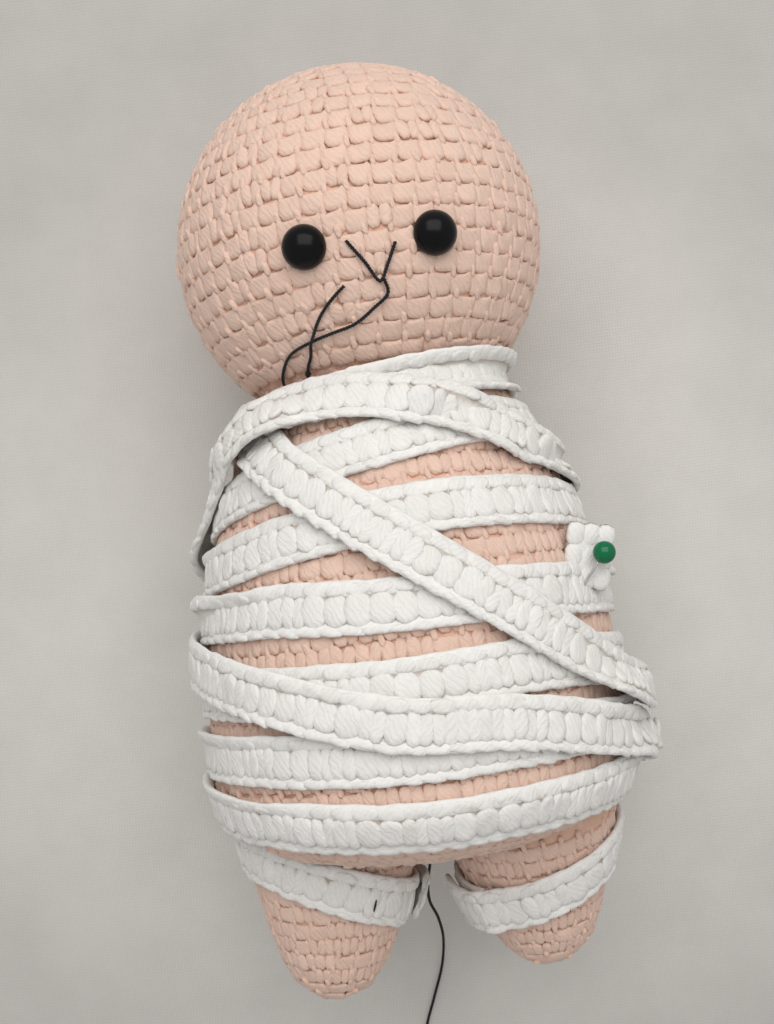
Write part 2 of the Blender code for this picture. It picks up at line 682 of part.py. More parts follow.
def add_pin(part, cutters, doll, strip, pierced, looks):
    """Ball pin: its steel shaft leans through the strip's end into the stuffing."""
    out = Vector((math.sin(PIN_ANGLE), 0.0, math.cos(PIN_ANGLE)))
    around = Vector((math.cos(PIN_ANGLE), 0.0, -math.sin(PIN_ANGLE)))
    up = Vector((0.0, 1.0, 0.0))
    reach = strip_top_at(strip, PIN_ANGLE, PIN_Y) + FIT + PIN_BALL_RADIUS
    centre = out * reach + up * PIN_Y
    back = out * math.sin(PIN_LEAN) + (up * math.cos(PIN_SIDE) + around * math.sin(-PIN_SIDE)) * math.cos(PIN_LEAN)
    back.normalize()
    aim = back.to_track_quat("Z", "Y").to_matrix().to_4x4()
    holder = bpy.data.objects.new("pin_line", None)
    part.objects.link(holder)
    holder.parent = doll
    holder.matrix_local = Matrix.Translation(centre) @ aim
    turned_mesh("pin_head", ball_profile(PIN_BALL_RADIUS, 0.0, 10), 20, part, holder, looks["pin"])
    start = -PIN_BALL_RADIUS - FIT
    shaft_profile = [
        (0.0, start), (PIN_RADIUS, start), (PIN_RADIUS, start - PIN_LENGTH + 0.003), (0.0, start - PIN_LENGTH)
    ]
    turned_mesh("pin_shaft", shaft_profile, 10, part, holder, looks["steel"])
    room = PIN_RADIUS + FIT
    hole_profile = [(0.0, start), (room, start), (room, start - PIN_LENGTH - FIT), (0.0, start - PIN_LENGTH - FIT)]
    hole = turned_mesh("pin_hole", hole_profile, 10, cutters, holder)
    mark_cutter(hole)
    for piece in pierced:
        cut(piece, hole)
    return holder


def lean_of_doll(strip):
    """Tilt and height at which the head and the strip behind the hips both touch the floor."""
    middle = strip.points()[:, 1]
    back = np.isclose(middle[:, 0], 0.0, atol=0.0001) & (middle[:, 1] > 0.0)
    depth = -(middle[back, 1] + STRIP_THICKNESS)
    along = middle[back, 2]
    low, high = 0.0, math.radians(20.0)
    for _ in range(60):
        tilt = 0.5 * (low + high)
        height = HEAD_RADIUS - FLAT_DEPTH + HEAD_CENTRE_Y * math.sin(tilt)
        lowest = (height + depth * math.cos(tilt) - along * math.sin(tilt)).min()
        if lowest > -FLAT_DEPTH:
            high = tilt
        else:
            low = tilt
    rest = np.argmin(height + depth * math.cos(tilt) - along * math.sin(tilt))
    forward = along[rest] * math.cos(tilt) + depth[rest] * math.sin(tilt)
    return tilt, height, -forward


def cut_flat(pieces, cutters):
    """Cut what rests on the floor flat."""
    block = bmesh.new()
    bmesh.ops.create_cube(block, size=1.0)
    mesh = bpy.data.meshes.new("floor_cut")
    block.to_mesh(mesh)
    block.free()
    floor = add_object("floor_cut", mesh, cutters, None)
    floor.scale = (0.3, 0.4, 0.02)
    floor.location = (0.0, 0.0, -0.01)
    mark_cutter(floor)
    for piece in pieces:
        cut(piece, floor)


def add_threads(part, doll, axis, tilt, height, looks):
    """Nose stitch with its tails on the face, and the loose thread between the legs."""
    head_thread("nose_stitch", NOSE_ROUTE, 13, part, axis, looks["thread"])
    head_thread("long_thread_tail", LONG_TAIL_ROUTE, 24, part, axis, looks["thread"])
    head_thread("short_thread_tail", SHORT_TAIL_ROUTE, 25, part, axis, looks["thread"])
    points = []
    for across, along, over in smooth_route(LOOSE_THREAD_ROUTE, 40) * 0.001:
        depth = (over - height + along * math.sin(tilt)) / math.cos(tilt)
        points.append((across, along, depth))
    thread_object("loose_thread", points, THREAD_RADIUS, part, doll, looks["thread"])


def make_looks():
    """Materials by use."""
    return {
        "skin": make_material("peach yarn", SKIN_COLOUR, 0.9),
        "stuffing": make_material("fibre stuffing", STUFFING_COLOUR, 1.0),
        "strip": make_material("warm white yarn", STRIP_COLOUR, 0.9),
        "eye": make_material("black gloss plastic", BLACK, 0.08),
        "washer": make_material("grey plastic", WASHER_COLOUR, 0.5),
        "thread": make_material("black thread", BLACK, 0.7),
        "pin": make_material("green glass", PIN_GREEN, 0.1),
        "steel": make_material("bright steel", STEEL, 0.25, 1.0),
    }


def report_places(items):
    """Print where the joints and the floor contact lie, in world millimetres."""
    bpy.context.view_layer.update()
    for item in items:
        place = item.matrix_world.translation * 1000.0
        up = item.matrix_world.to_3x3() @ Vector((0.0, 1.0, 0.0))
        out = item.matrix_world.to_3x3() @ Vector((0.0, 0.0, 1.0))
        print(item.name, [round(c, 3) for c in place], "Y", [round(c, 5) for c in up], "Z", [round(c, 5) for c in out])


def main():
    clear_scene()
    part = bpy.data.collections.new("crochet_mummy_doll")
    cutters = bpy.data.collections.new("cutters")
    for group in (part, cutters):
        bpy.context.scene.collection.children.link(group)
    looks = make_looks()
    doll = bpy.data.objects.new("doll", None)
    part.objects.link(doll)
    neck = bpy.data.objects.new("neck_axis", None)
    part.objects.link(neck)
    neck.parent = doll
    neck.location = (0.0, HEAD_CENTRE_Y, 0.0)
    head = add_head(part, cutters, neck, looks)
    add_eyes(part, cutters, neck, head, looks)
    body = add_body(part, cutters, doll, looks)
    strips = [
        add_leg("right", -1, RIGHT_LEG_SPLAY, RIGHT_LEG_DROP, part, cutters, doll, body, looks),
        add_leg("left", 1, LEFT_LEG_SPLAY, LEFT_LEG_DROP, part, cutters, doll, body, looks),
    ]
    strip, bandage = add_torso_bandage(part, doll, looks)
    pin = add_pin(part, cutters, doll, strip, [bandage, *body], looks)
    tilt, height, forward = lean_of_doll(strip)
    doll.location = (0.0, forward, height)
    doll.rotation_euler = (-tilt, 0.0, 0.0)
    cut_flat([bandage, head[0]], cutters)
    add_threads(part, doll, neck, tilt, height, looks)
    gaps = [least_gap(turns) for turns in (strip, *strips)]
    print("least gap between turns, mm:", [round(gap * 1000.0, 3) for gap in gaps])
    if min(gaps) < LEAST_STRIP_GAP:
        print("turns of the strip come too close")
    hips = [item for item in part.objects if item.name.endswith("_hip")]
    report_places([doll, neck, pin, *hips])


main()
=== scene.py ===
"""Looks of a crochet mummy doll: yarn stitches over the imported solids, on a pale cloth.

Every stitch is real geometry. A small shape of a few strands is set along the rounds of the
head, the body and the legs, and along the rows of the strip, by Geometry Nodes. The doll frame
has its origin on the body's axis, with +Y to the top of the head and +Z out of the face.
"""

import json
import math

import bmesh
import bpy
import numpy as np
from mathutils import Matrix, Vector, noise

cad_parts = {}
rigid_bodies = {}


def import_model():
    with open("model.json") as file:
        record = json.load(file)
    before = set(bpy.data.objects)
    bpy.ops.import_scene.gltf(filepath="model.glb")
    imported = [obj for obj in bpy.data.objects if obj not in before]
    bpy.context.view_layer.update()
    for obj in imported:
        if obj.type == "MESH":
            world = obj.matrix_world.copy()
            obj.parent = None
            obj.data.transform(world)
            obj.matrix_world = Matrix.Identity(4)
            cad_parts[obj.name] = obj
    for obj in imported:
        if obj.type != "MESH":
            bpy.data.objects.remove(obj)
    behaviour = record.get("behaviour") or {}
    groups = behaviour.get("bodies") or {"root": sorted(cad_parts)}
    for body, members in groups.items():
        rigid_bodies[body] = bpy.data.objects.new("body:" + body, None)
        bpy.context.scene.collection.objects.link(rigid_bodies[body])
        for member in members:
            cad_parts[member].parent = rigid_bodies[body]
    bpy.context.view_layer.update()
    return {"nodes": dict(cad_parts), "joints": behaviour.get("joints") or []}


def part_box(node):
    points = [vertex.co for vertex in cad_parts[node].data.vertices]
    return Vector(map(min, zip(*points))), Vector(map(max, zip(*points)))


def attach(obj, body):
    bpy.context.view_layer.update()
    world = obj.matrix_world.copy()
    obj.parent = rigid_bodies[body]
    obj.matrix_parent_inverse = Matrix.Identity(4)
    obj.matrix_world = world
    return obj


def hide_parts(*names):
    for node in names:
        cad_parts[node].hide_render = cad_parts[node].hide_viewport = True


bl_info = {
    "name": "Crochet mummy doll",
    "version": (1, 0, 0),
    "blender": (4, 5, 0),
    "location": "View3D > Sidebar > Doll",
    "description": "Dresses the packed doll in crochet stitches and sets it on a pale cloth",
    "category": "Object",
}

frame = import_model()

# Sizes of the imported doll, in metres
HEAD_RADIUS = 0.0397
HEAD_CENTRE_Y = 0.0585
HEAD_OPENING = 0.0110
BODY_TOP_Y = 0.0320
NECK_Y = 0.0270
NECK_RADIUS = 0.0253
HIP_Y = -0.0529
HIP_RADIUS = 0.0442
BODY_END_Y = -0.0730
CHEST_POWER = 2.5
SEAT_POWER = 3.0
LEG_X = 0.0210
LEG_Y = -0.0620
LEG_RADIUS = 0.0205
LEG_LENGTH = 0.0400
LEG_TAPER = 0.56
LEG_TAPER_POWER = 1.1
TOE_POWER = 10.0
LEG_SPLAY = {"right": math.radians(5.5), "left": math.radians(2.0)}
LEG_DROP = {"right": math.radians(2.0), "left": math.radians(12.0)}
LEG_SIDE = {"right": -1, "left": 1}
STRIP_WIDTH = 0.0104
STRIP_THICKNESS = 0.0016
STATIONS_PER_TURN = 160
LEG_STATIONS_PER_TURN = 96
LAYER_GAP = 0.0007
SKIN_GAP = 0.00065
THREAD_ROOM = 0.0014
BRIDGE_POWER = 12.0
FIT = 0.0003
FACE_LONGITUDE = 3.3
EYE_SPREAD = 18.9
EYE_LATITUDE = -11.3
PIN_ANGLE = math.radians(56.0)
PIN_LEAN = math.radians(40.0)
PIN_SIDE = math.radians(-8.0)
PIN_LENGTH = 0.0240
PIN_BALL_RADIUS = 0.0023
PIN_RADIUS = 0.0003
PIN_POINT = 0.0036
EYE_RADIUS = 0.0045
EYE_HEIGHT = 0.0041
EYE_RIM = 0.0006
POST_RADIUS = 0.0019
POST_LENGTH = 0.0085
POST_RIBS = 3
POST_RIB_HEIGHT = 0.00025
THREAD_RADIUS = 0.00035
THREAD_TURN = 0.0013

# Route of the strip: turn angle in degrees from the middle of the front, first round the doll's
# right side, and height along the body in millimetres
STRIP_ROUTE = [
    (-180, 17.5), (-90, 14.5), (-29, 13.8), (0, 11.2), (34, 7.6), (72, 3.8), (90, 2.2),
    (180, 0.0), (270, -4.6), (330, -2.9), (349, -2.9), (390, -5.6), (426, -8.9), (450, -9.7),
    (540, -16.5), (630, -22.4), (698, -21.0), (723, -20.9), (757, -19.2), (792, -18.9), (810, -18.9),
    (900, -27.5), (990, -37.2), (1053, -35.3), (1080, -36.0), (1117, -35.1), (1152, -34.0), (1170, -34.0),
    (1260, -40.5), (1350, -48.6), (1401, -48.7), (1448, -48.9), (1489, -47.2), (1530, -46.0),
    (1620, -52.6), (1710, -60.0), (1774, -62.0), (1800, -62.3), (1846, -59.5), (1872, -57.4), (1890, -56.6),
    (1980, -56.2), (2070, -54.6), (2109, -49.8), (2137, -45.3), (2165, -42.9), (2195, -35.9), (2228, -28.9),
    (2250, -26.2), (2340, -35.0), (2410, -43.0), (2440, -43.5), (2462, -39.5), (2480, -31.5), (2496, -22.7),
    (2509, -15.3), (2519, -9.5), (2532, -2.2), (2548, 6.0), (2562, 12.5), (2585, 19.0), (2610, 22.5),
    (2700, 24.8), (2790, 26.4), (2853, 25.0), (2898, 22.6), (2918, 21.4), (2970, 20.0),
    (3060, 13.0), (3150, 4.5), (3187, 9.2), (3213, 16.0), (3240, 20.6), (3258, 21.8), (3278, 21.0),
    (3296, 17.5), (3311, 11.5), (3324, 4.5), (3338, -2.5), (3358, -8.5), (3420, -13.5), (3510, -14.8),
    (3538, -14.5),
]
LEG_BANDS = {
    "right": dict(middle=0.0132, tilt=0.0062, facing=0.0, start=225.0),
    "left": dict(middle=0.0175, tilt=-0.0046, facing=25.0, start=45.0),
}
LEG_BAND_OVERLAP = 45.0
CAMERA_ROLL = math.radians(7.18)
CAMERA_BACK = (0.0, 0.03839, 0.99927)
CAMERA_PLACE = (-0.0011, 0.052475, 0.35757)
LAMP_PLACE = Vector((0.05, 0.42, 0.62))
LAMP_AIM = Vector((0.0, 0.04, 0.03))
LAMP_SIDES = (0.8, 0.6)

# Threads on the face: longitude and latitude on the head in degrees, and lift in millimetres
NOSE_ROUTE = [(-3.5, -11.5, 0.0), (1.0, -17.8, 0.0), (5.2, -23.4, 0.0), (7.6, -19.0, 0.0), (10.3, -13.2, 0.0)]
LONG_TAIL_ROUTE = [
    (7.2, -26.6, 0.0), (2.0, -31.0, 0.0), (-4.4, -34.7, 0.0), (-12.6, -36.4, 0.0), (-21.3, -37.9, 0.0),
    (-32.6, -40.7, 0.0), (-39.5, -44.6, 0.0), (-44.8, -48.4, 0.0), (-46.2, -49.9, 0.0),
]
SHORT_TAIL_ROUTE = [
    (-6.1, -23.6, 0.0), (-11.8, -27.7, 0.0), (-16.9, -32.4, 0.0), (-19.3, -35.4, 0.55), (-20.3, -36.7, 0.95),
    (-21.3, -38.0, 1.1), (-22.1, -39.2, 0.95), (-22.9, -40.5, 0.55), (-24.6, -42.7, 0.0), (-27.4, -45.3, 0.0),
    (-30.7, -48.9, 0.0),
]
# Where the long tail starts, just under the nose stitch
LONG_TAIL_START = (5.9, -22.4, 0.5)
# Thread between the legs: across, along, and height over the floor, in millimetres
LOOSE_THREAD_ROUTE = [
    (0.0, -72.4, 32.7), (-0.4, -76.0, 32.3), (-1.3, -80.6, 29.6), (-2.4, -86.0, 24.0), (-2.6, -92.0, 17.0),
    (-1.0, -98.0, 10.0), (-0.4, -104.5, 4.5), (-1.6, -112.0, 1.0), (-4.6, -120.0, 0.55),
    (-7.6, -128.0, 0.55), (-8.4, -136.0, 0.55),
]


class CrochetSizes(bpy.types.PropertyGroup):
    """Sizes of the stitches."""

    round_pitch: bpy.props.FloatProperty(
        name="Round pitch", description="Height of one round of stitches on the head, body and legs",
        default=0.0045, min=0.0025, max=0.008, unit="LENGTH",
    )
    stitch_width: bpy.props.FloatProperty(
        name="Stitch width", description="Width of one stitch in a round",
        default=0.0048, min=0.0025, max=0.008, unit="LENGTH",
    )
    strip_stitch: bpy.props.FloatProperty(
        name="Strip stitch", description="Length of strip that one stitch takes",
        default=0.0044, min=0.0025, max=0.008, unit="LENGTH",
    )
    round_drift: bpy.props.FloatProperty(
        name="Round drift", default=-0.20, min=-0.5, max=0.5,
        description="Share of a stitch by which each round is set over from the round above",
    )
    unevenness: bpy.props.FloatProperty(
        name="Unevenness", description="Most that a hand-made stitch is turned from its place",
        default=math.radians(5.0), min=0.0, max=math.radians(20.0), subtype="ANGLE",
    )
    size_change: bpy.props.FloatProperty(
        name="Size change", description="Most that a stitch is larger or smaller than the plain one",
        default=0.05, min=0.0, max=0.3,
    )
    wander: bpy.props.FloatProperty(
        name="Wander", description="Spread by which the yarn strays from its even path",
        default=0.0011, min=0.0, max=0.003, unit="LENGTH",
    )
    seed: bpy.props.IntProperty(
        name="Seed", description="Start of the random draws", default=7, min=0,
    )


def colour_choice(name, description, default):
    """A colour that a user may change."""
    return bpy.props.FloatVectorProperty(
        name=name, description=description, subtype="COLOR", size=3, default=default, min=0.0, max=1.0,
    )


class DollFinishes(bpy.types.PropertyGroup):
    """Colours of the yarns and trims."""

    peach_yarn: colour_choice("Peach yarn", "Colour of the head, body and legs", (0.755, 0.545, 0.45))
    white_yarn: colour_choice("White yarn", "Colour of the wound strip", (0.79, 0.78, 0.76))
    black_thread: colour_choice("Black thread", "Colour of the threads", (0.012, 0.012, 0.014))
    eye_plastic: colour_choice("Eye plastic", "Colour of the eyes", (0.003, 0.003, 0.004))
    green_glass: colour_choice("Green glass", "Colour of the pin's ball", (0.0, 0.125, 0.048))
    linen: colour_choice("Linen", "Colour of the cloth under the doll", (0.635, 0.618, 0.590))


class StageSizes(bpy.types.PropertyGroup):
    """Floor and lights."""

    floor_size: bpy.props.FloatProperty(
        name="Floor size", description="Side of the square cloth", default=1.6, min=0.5, unit="LENGTH",
    )
    sky_level: bpy.props.FloatProperty(
        name="Sky level", description="Strength of the even light from all round", default=0.56, min=0.0,
    )
    key_power: bpy.props.FloatProperty(
        name="Key power", description="Power of the broad lamp over the head, in watts", default=3.9, min=0.0,
    )


def settings():
    """The three groups of settings."""
    scene = bpy.context.scene
    return scene.doll_crochet, scene.doll_finishes, scene.doll_stage


# Surfaces


def head_radius_at(y):
    """Radius of the round head at a height along the doll."""
    rise = np.asarray(y, float) - HEAD_CENTRE_Y
    return np.sqrt(np.clip(HEAD_RADIUS**2 - rise**2, 0.0, None))


def body_radius_at(y):
    """Radius of the body: it narrows slowly to the neck and closes in a full curve below the hips."""
    y = np.asarray(y, float)
    rise = np.clip((y - HIP_Y) / (NECK_Y - HIP_Y), 0.0, 1.0 + (BODY_TOP_Y - NECK_Y) / (NECK_Y - HIP_Y))
    chest = HIP_RADIUS - (HIP_RADIUS - NECK_RADIUS) * rise**CHEST_POWER
    fall = np.clip((HIP_Y - y) / (HIP_Y - BODY_END_Y), 0.0, 1.0)
    seat = HIP_RADIUS * (1.0 - fall**SEAT_POWER) ** (1.0 / SEAT_POWER)
    return np.where(y > HIP_Y, chest, seat)


def leg_radius_at(distance):
    """Radius of a leg at a distance below the hip: a ball above it, a blunt taper below."""
    distance = np.asarray(distance, float)
    share = np.clip(distance / LEG_LENGTH, 0.0, 1.0)
    taper = LEG_RADIUS * (1.0 - LEG_TAPER * share**LEG_TAPER_POWER) * np.sqrt(1.0 - share**TOE_POWER)
    ball = np.sqrt(np.clip(LEG_RADIUS**2 - distance**2, 0.0, None))
    return np.where(distance < 0.0, ball, taper)


def torso_wrap_radius(theta, y):
    """Radius that the strip lies on: body, head with room for threads, and the tops of the legs."""
    body = body_radius_at(y)
    head = head_radius_at(y)
    head = np.where(head > 0.0, head + THREAD_ROOM, 0.0)
    leg = leg_radius_at(LEG_Y - y)
    reach = leg**2 - (LEG_X * np.cos(theta)) ** 2
    side = LEG_X * np.abs(np.sin(theta)) + np.sqrt(np.clip(reach, 0.0, None))
    side = np.where(reach > 0.0, side + FIT, 0.0)
    joined = (body**BRIDGE_POWER + head**BRIDGE_POWER) ** (1.0 / BRIDGE_POWER)
    return np.maximum(joined, side)


def leg_wrap_radius(theta, height):
    """Radius that a leg's band lies on, with height measured up from the hip."""
    return leg_radius_at(-np.asarray(height, float)) + 0.0 * theta


def lengths_along(points):
    """Length along a line of points up to each of them."""
    return np.concatenate([[0.0], np.cumsum(np.linalg.norm(np.diff(points, axis=0), axis=1))])


def smooth_values(angles, controls):
    """Read a smooth curve through (angle, value) controls at the given angles."""
    knots = np.array([c[0] for c in controls], float)
    values = np.array([c[1] for c in controls], float)
    slopes = np.gradient(values, knots)
    index = np.clip(np.searchsorted(knots, angles, side="right") - 1, 0, len(knots) - 2)
    span = knots[index + 1] - knots[index]
    t = (angles - knots[index]) / span
    first = (1 + 2 * t) * (1 - t) ** 2 * values[index] + t * (1 - t) ** 2 * span * slopes[index]
    second = t * t * (3 - 2 * t) * values[index + 1] + t * t * (t - 1) * span * slopes[index + 1]
    return first + second


def smooth_route(controls, count):
    """Read evenly spread points from a smooth curve through control points."""
    controls = np.array(controls, float)
    knots = lengths_along(controls)
    places = np.linspace(0.0, knots[-1], count)
    return np.stack(
        [smooth_values(places, list(zip(knots, controls[:, k]))) for k in range(controls.shape[1])], axis=1
    )


def unit(vectors):
    """Vectors of length one."""
    return vectors / np.maximum(np.linalg.norm(vectors, axis=-1, keepdims=True), 1e-12)


def spread(points, step):
    """Read points at even steps along a line of close points."""
    lengths = lengths_along(points)
    count = max(int(round(lengths[-1] / step)) + 1, 2)
    places = np.linspace(0.0, lengths[-1], count)
    return np.stack([np.interp(places, lengths, points[:, k]) for k in range(3)], axis=1), lengths[-1]


class Strip:
    """A flat strip wound on a turned surface, each turn lying on what was wound before it."""

    SUB = 3
    ACROSS = 33
    SHARES = np.linspace(-1.0, 1.0, 5)
    CELL = 0.0005
    MARGIN = 0.0009
    LOW = -0.080
    HIGH = 0.045

    def __init__(self, angles, heights, surface, stations_per_turn):
        self.surface = surface
        self.lag = stations_per_turn // 4
        self.theta = -np.radians(angles)
        self.height = heights
        self.lay_out_stations()
        self.find_lifts()
        self.lay_middle_line()

    def slant(self, theta, height):
        """Length of the surface for one unit of height."""
        step = 0.0005
        rise = self.surface(theta, height + step) - self.surface(theta, height - step)
        return np.minimum(np.sqrt(1.0 + (rise / (2.0 * step)) ** 2), 2.0)

    def lay_out_stations(self):
        """Find the directions across the strip, in angle and height, at each station."""
        radius = self.surface(self.theta, self.height)
        slant = self.slant(self.theta, self.height)
        around = np.gradient(self.theta) * radius
        up = np.gradient(self.height) * slant
        length = np.hypot(around, up)
        self.across_theta = -up / length / radius
        self.across_height = around / length / slant

    def chart(self, u, v):
        """Angle and height of a point at station number u and distance v across."""
        numbers = np.arange(len(self.theta))
        theta = np.interp(u, numbers, self.theta) + v * np.interp(u, numbers, self.across_theta)
        height = np.interp(u, numbers, self.height) + v * np.interp(u, numbers, self.across_height)
        return theta, height

    def cells(self, theta, height):
        """Cell numbers of the height map."""
        column = np.round(np.degrees(theta)).astype(int) % 360
        row = np.round((height - self.LOW) / self.CELL).astype(int)
        rows = int((self.HIGH - self.LOW) / self.CELL)
        return np.clip(row, 0, rows - 1), column

    def find_lifts(self):
        """Wind the strip station by station; each point lies on the highest turn beneath it."""
        count = len(self.theta)
        rows = int((self.HIGH - self.LOW) / self.CELL)
        top = np.full((rows, 360), SKIN_GAP)
        half = STRIP_WIDTH / 2.0
        reach = np.linspace(-half - self.MARGIN, half + self.MARGIN, self.ACROSS)
        u = np.arange((count - 1) * self.SUB + 1) / self.SUB
        u_grid, v_grid = np.meshgrid(u, reach, indexing="ij")
        theta, height = self.chart(u_grid, v_grid)
        row, column = self.cells(theta, height)
        build_up = (STRIP_THICKNESS + LAYER_GAP) * self.slant(theta, height)
        shares = np.clip(reach / half, -1.0, 1.0)
        windows = [np.abs(shares - share) < 0.36 for share in self.SHARES]
        lift = np.zeros((count, len(windows)))
        smooth = lift.copy()
        near_by = 2
        for station in range(count):
            near = slice(max((station - 1) * self.SUB, 0), (station + 1) * self.SUB + 1)
            under = top[row[near], column[near]].max(axis=0)
            lift[station] = [under[window].max() for window in windows]
            done = station - near_by
            if done >= 0:
                smooth[done] = lift[max(done - near_by, 0):station + 1].mean(axis=0)
            done = station - self.lag
            if done > 0:
                self.add_to_map(top, row, column, build_up, smooth, done, shares)
        for station in range(count - near_by, count):
            smooth[station] = lift[station - near_by:].mean(axis=0)
        self.lift = smooth

    def add_to_map(self, top, row, column, build_up, lift, station, shares):
        """Raise the height map by the stretch of strip that ends at a station."""
        near = slice((station - 1) * self.SUB, station * self.SUB + 1)
        t = np.linspace(0.0, 1.0, self.SUB + 1)[:, None]
        sides = lift[station - 1] * (1.0 - t) + lift[station] * t
        across = np.array([np.interp(shares, self.SHARES, side) for side in sides])
        np.maximum.at(top, (row[near], column[near]), across + build_up[near])

    def under(self, u, v):
        """Points of the underside at station numbers u and distances v across, in turned axes."""
        numbers = np.arange(len(self.theta))
        theta, height = self.chart(u, v)
        place = np.clip(v / (STRIP_WIDTH / 2.0), -1.0, 1.0) * 2.0 + 2.0
        left = np.clip(np.floor(place).astype(int), 0, 3)
        lifts = np.array([np.interp(u, numbers, side) for side in self.lift.T])
        low = np.take_along_axis(lifts, left[None], axis=0)[0]
        high = np.take_along_axis(lifts, left[None] + 1, axis=0)[0]
        radius = self.surface(theta, height) + low + (high - low) * (place - left)
        return np.stack([radius * np.sin(theta), -radius * np.cos(theta), height], axis=-1)

    def frame(self, u, v):
        """Points of the underside with the directions out of the strip and to its upper edge."""
        step = 0.0004
        lag = 0.4
        point = self.under(u, v)
        along = unit(self.under(u + lag, v) - self.under(u - lag, v))
        upward = unit(self.under(u, v - step) - self.under(u, v + step))
        out = unit(np.cross(upward, along))
        radial = point * (1.0, 1.0, 0.0)
        out *= np.sign((out * radial).sum(axis=-1))[..., None]
        return point, out, unit(np.cross(out, np.cross(upward, out)))

    def lay_middle_line(self):
        """Measure the strip along its middle."""
        self.fine = np.linspace(0.0, len(self.theta) - 1.0, (len(self.theta) - 1) * 2 + 1)
        line = self.under(self.fine, 0.0 * self.fine)
        self.lengths = lengths_along(line)
        self.length = float(self.lengths[-1])

    def at_length(self, lengths):
        """Station numbers at lengths along the middle."""
        return np.interp(lengths, self.lengths, self.fine)


def wind_torso():
    """The long strip, from behind the neck down to the hips and back up to the pin."""
    step = 360.0 / STATIONS_PER_TURN
    angles = np.arange(STRIP_ROUTE[0][0], STRIP_ROUTE[-1][0] + step, step)
    return Strip(angles, smooth_values(angles, STRIP_ROUTE) * 0.001, torso_wrap_radius, STATIONS_PER_TURN)


def wind_leg(side):
    """The band round one leg."""
    band = LEG_BANDS[side]
    step = 360.0 / LEG_STATIONS_PER_TURN
    angles = band["start"] + step * np.arange(round((360.0 + LEG_BAND_OVERLAP) / step) + 1)
    wave = np.sin(np.radians(-angles - band["facing"]))
    return Strip(angles, -(band["middle"] + band["tilt"] * wave), leg_wrap_radius, LEG_STATIONS_PER_TURN)


def place_of_doll():
    """Place of the doll's axes, read from the joint at the head's centre."""
    neck = next(joint for joint in frame["joints"] if joint["name"] == "neck_turn")
    axis = Vector(neck["axis"]).normalized()
    tilt = math.atan2(-axis.z, axis.y)
    origin = Vector(neck["pos_m"]) - axis * HEAD_CENTRE_Y
    return tilt, origin


def axes_of_camera():
    """The camera's right, up and back directions."""
    c, s = math.cos(CAMERA_ROLL), math.sin(CAMERA_ROLL)
    back = Vector(CAMERA_BACK).normalized()
    right = Vector((c, -s * back.z, s * back.y))
    return right, back.cross(right), back


CAMERA_AXES = axes_of_camera()
TORSO_STRIP = wind_torso()
LEG_STRIPS = {side: wind_leg(side) for side in LEG_SIDE}
TILT, ORIGIN = place_of_doll()
DOLL = Matrix.Translation(ORIGIN) @ Matrix.Rotation(-TILT, 4, "X")
TURNED = Matrix.Rotation(math.radians(-90.0), 4, "X")


def leg_place(side):
    """Place of a leg's turned axes."""
    turn = Matrix.Rotation(LEG_DROP[side], 4, "X") @ Matrix.Rotation(LEG_SIDE[side] * LEG_SPLAY[side], 4, "Z")
    return DOLL @ Matrix.Translation((LEG_SIDE[side] * LEG_X, LEG_Y, 0.0)) @ turn @ TURNED


BODY_PLACE = DOLL @ TURNED
HEAD_PLACE = DOLL @ Matrix.Translation((0.0, HEAD_CENTRE_Y, 0.0)) @ TURNED


def placed(points, matrix):
    """Points moved by a matrix."""
    matrix = np.array(matrix)
    return points @ matrix[:3, :3].T + matrix[:3, 3]


def turned_over(vectors, matrix):
    """Directions turned by a matrix."""
    return vectors @ np.array(matrix)[:3, :3].T


# Meshes


def tube(rings, along, ends):
    """Points, faces and corner marks of a closed tube of rings with a pole at each end."""
    count, sides = rings.shape[:2]
    points = np.concatenate([rings.reshape(-1, 3), ends])
    faces, marks = [], []
    for i in range(count - 1):
        for j in range(sides):
            k = (j + 1) % sides
            faces.append((i * sides + j, i * sides + k, (i + 1) * sides + k, (i + 1) * sides + j))
            left, right = j / sides, (j + 1) / sides
            marks += [(left, along[i]), (right, along[i]), (right, along[i + 1]), (left, along[i + 1])]
    last = (count - 1) * sides
    for j in range(sides):
        k = (j + 1) % sides
        left, right = j / sides, (j + 1) / sides
        faces.append((count * sides, k, j))
        marks += [(0.5 * (left + right), along[0]), (right, along[0]), (left, along[0])]
        faces.append((count * sides + 1, last + j, last + k))
        marks += [(0.5 * (left + right), along[-1]), (left, along[-1]), (right, along[-1])]
    return points, faces, marks


def strand(points, radii, sides, flat=1.0, square=1.0):
    """A closed strand of yarn between two poles; flat squashes its height and square its roundness."""
    tangent = unit(np.gradient(points, axis=0))
    up = np.array([0.0, 0.0, 1.0]) - tangent[:, 2:3] * tangent
    up = unit(up)
    side = np.cross(tangent, up)
    angle = math.pi + 2.0 * math.pi * np.arange(sides) / sides
    rise = flat * np.sign(np.cos(angle)) * np.abs(np.cos(angle)) ** square
    wide = np.sign(np.sin(angle)) * np.abs(np.sin(angle)) ** square
    inner = slice(1, -1)
    rings = points[inner, None] + radii[inner, None, None] * (
        rise[None, :, None] * up[inner, None] + wide[None, :, None] * side[inner, None]
    )
    lengths = lengths_along(points) * 1000.0
    return tube(rings, lengths[inner], points[[0, -1]])


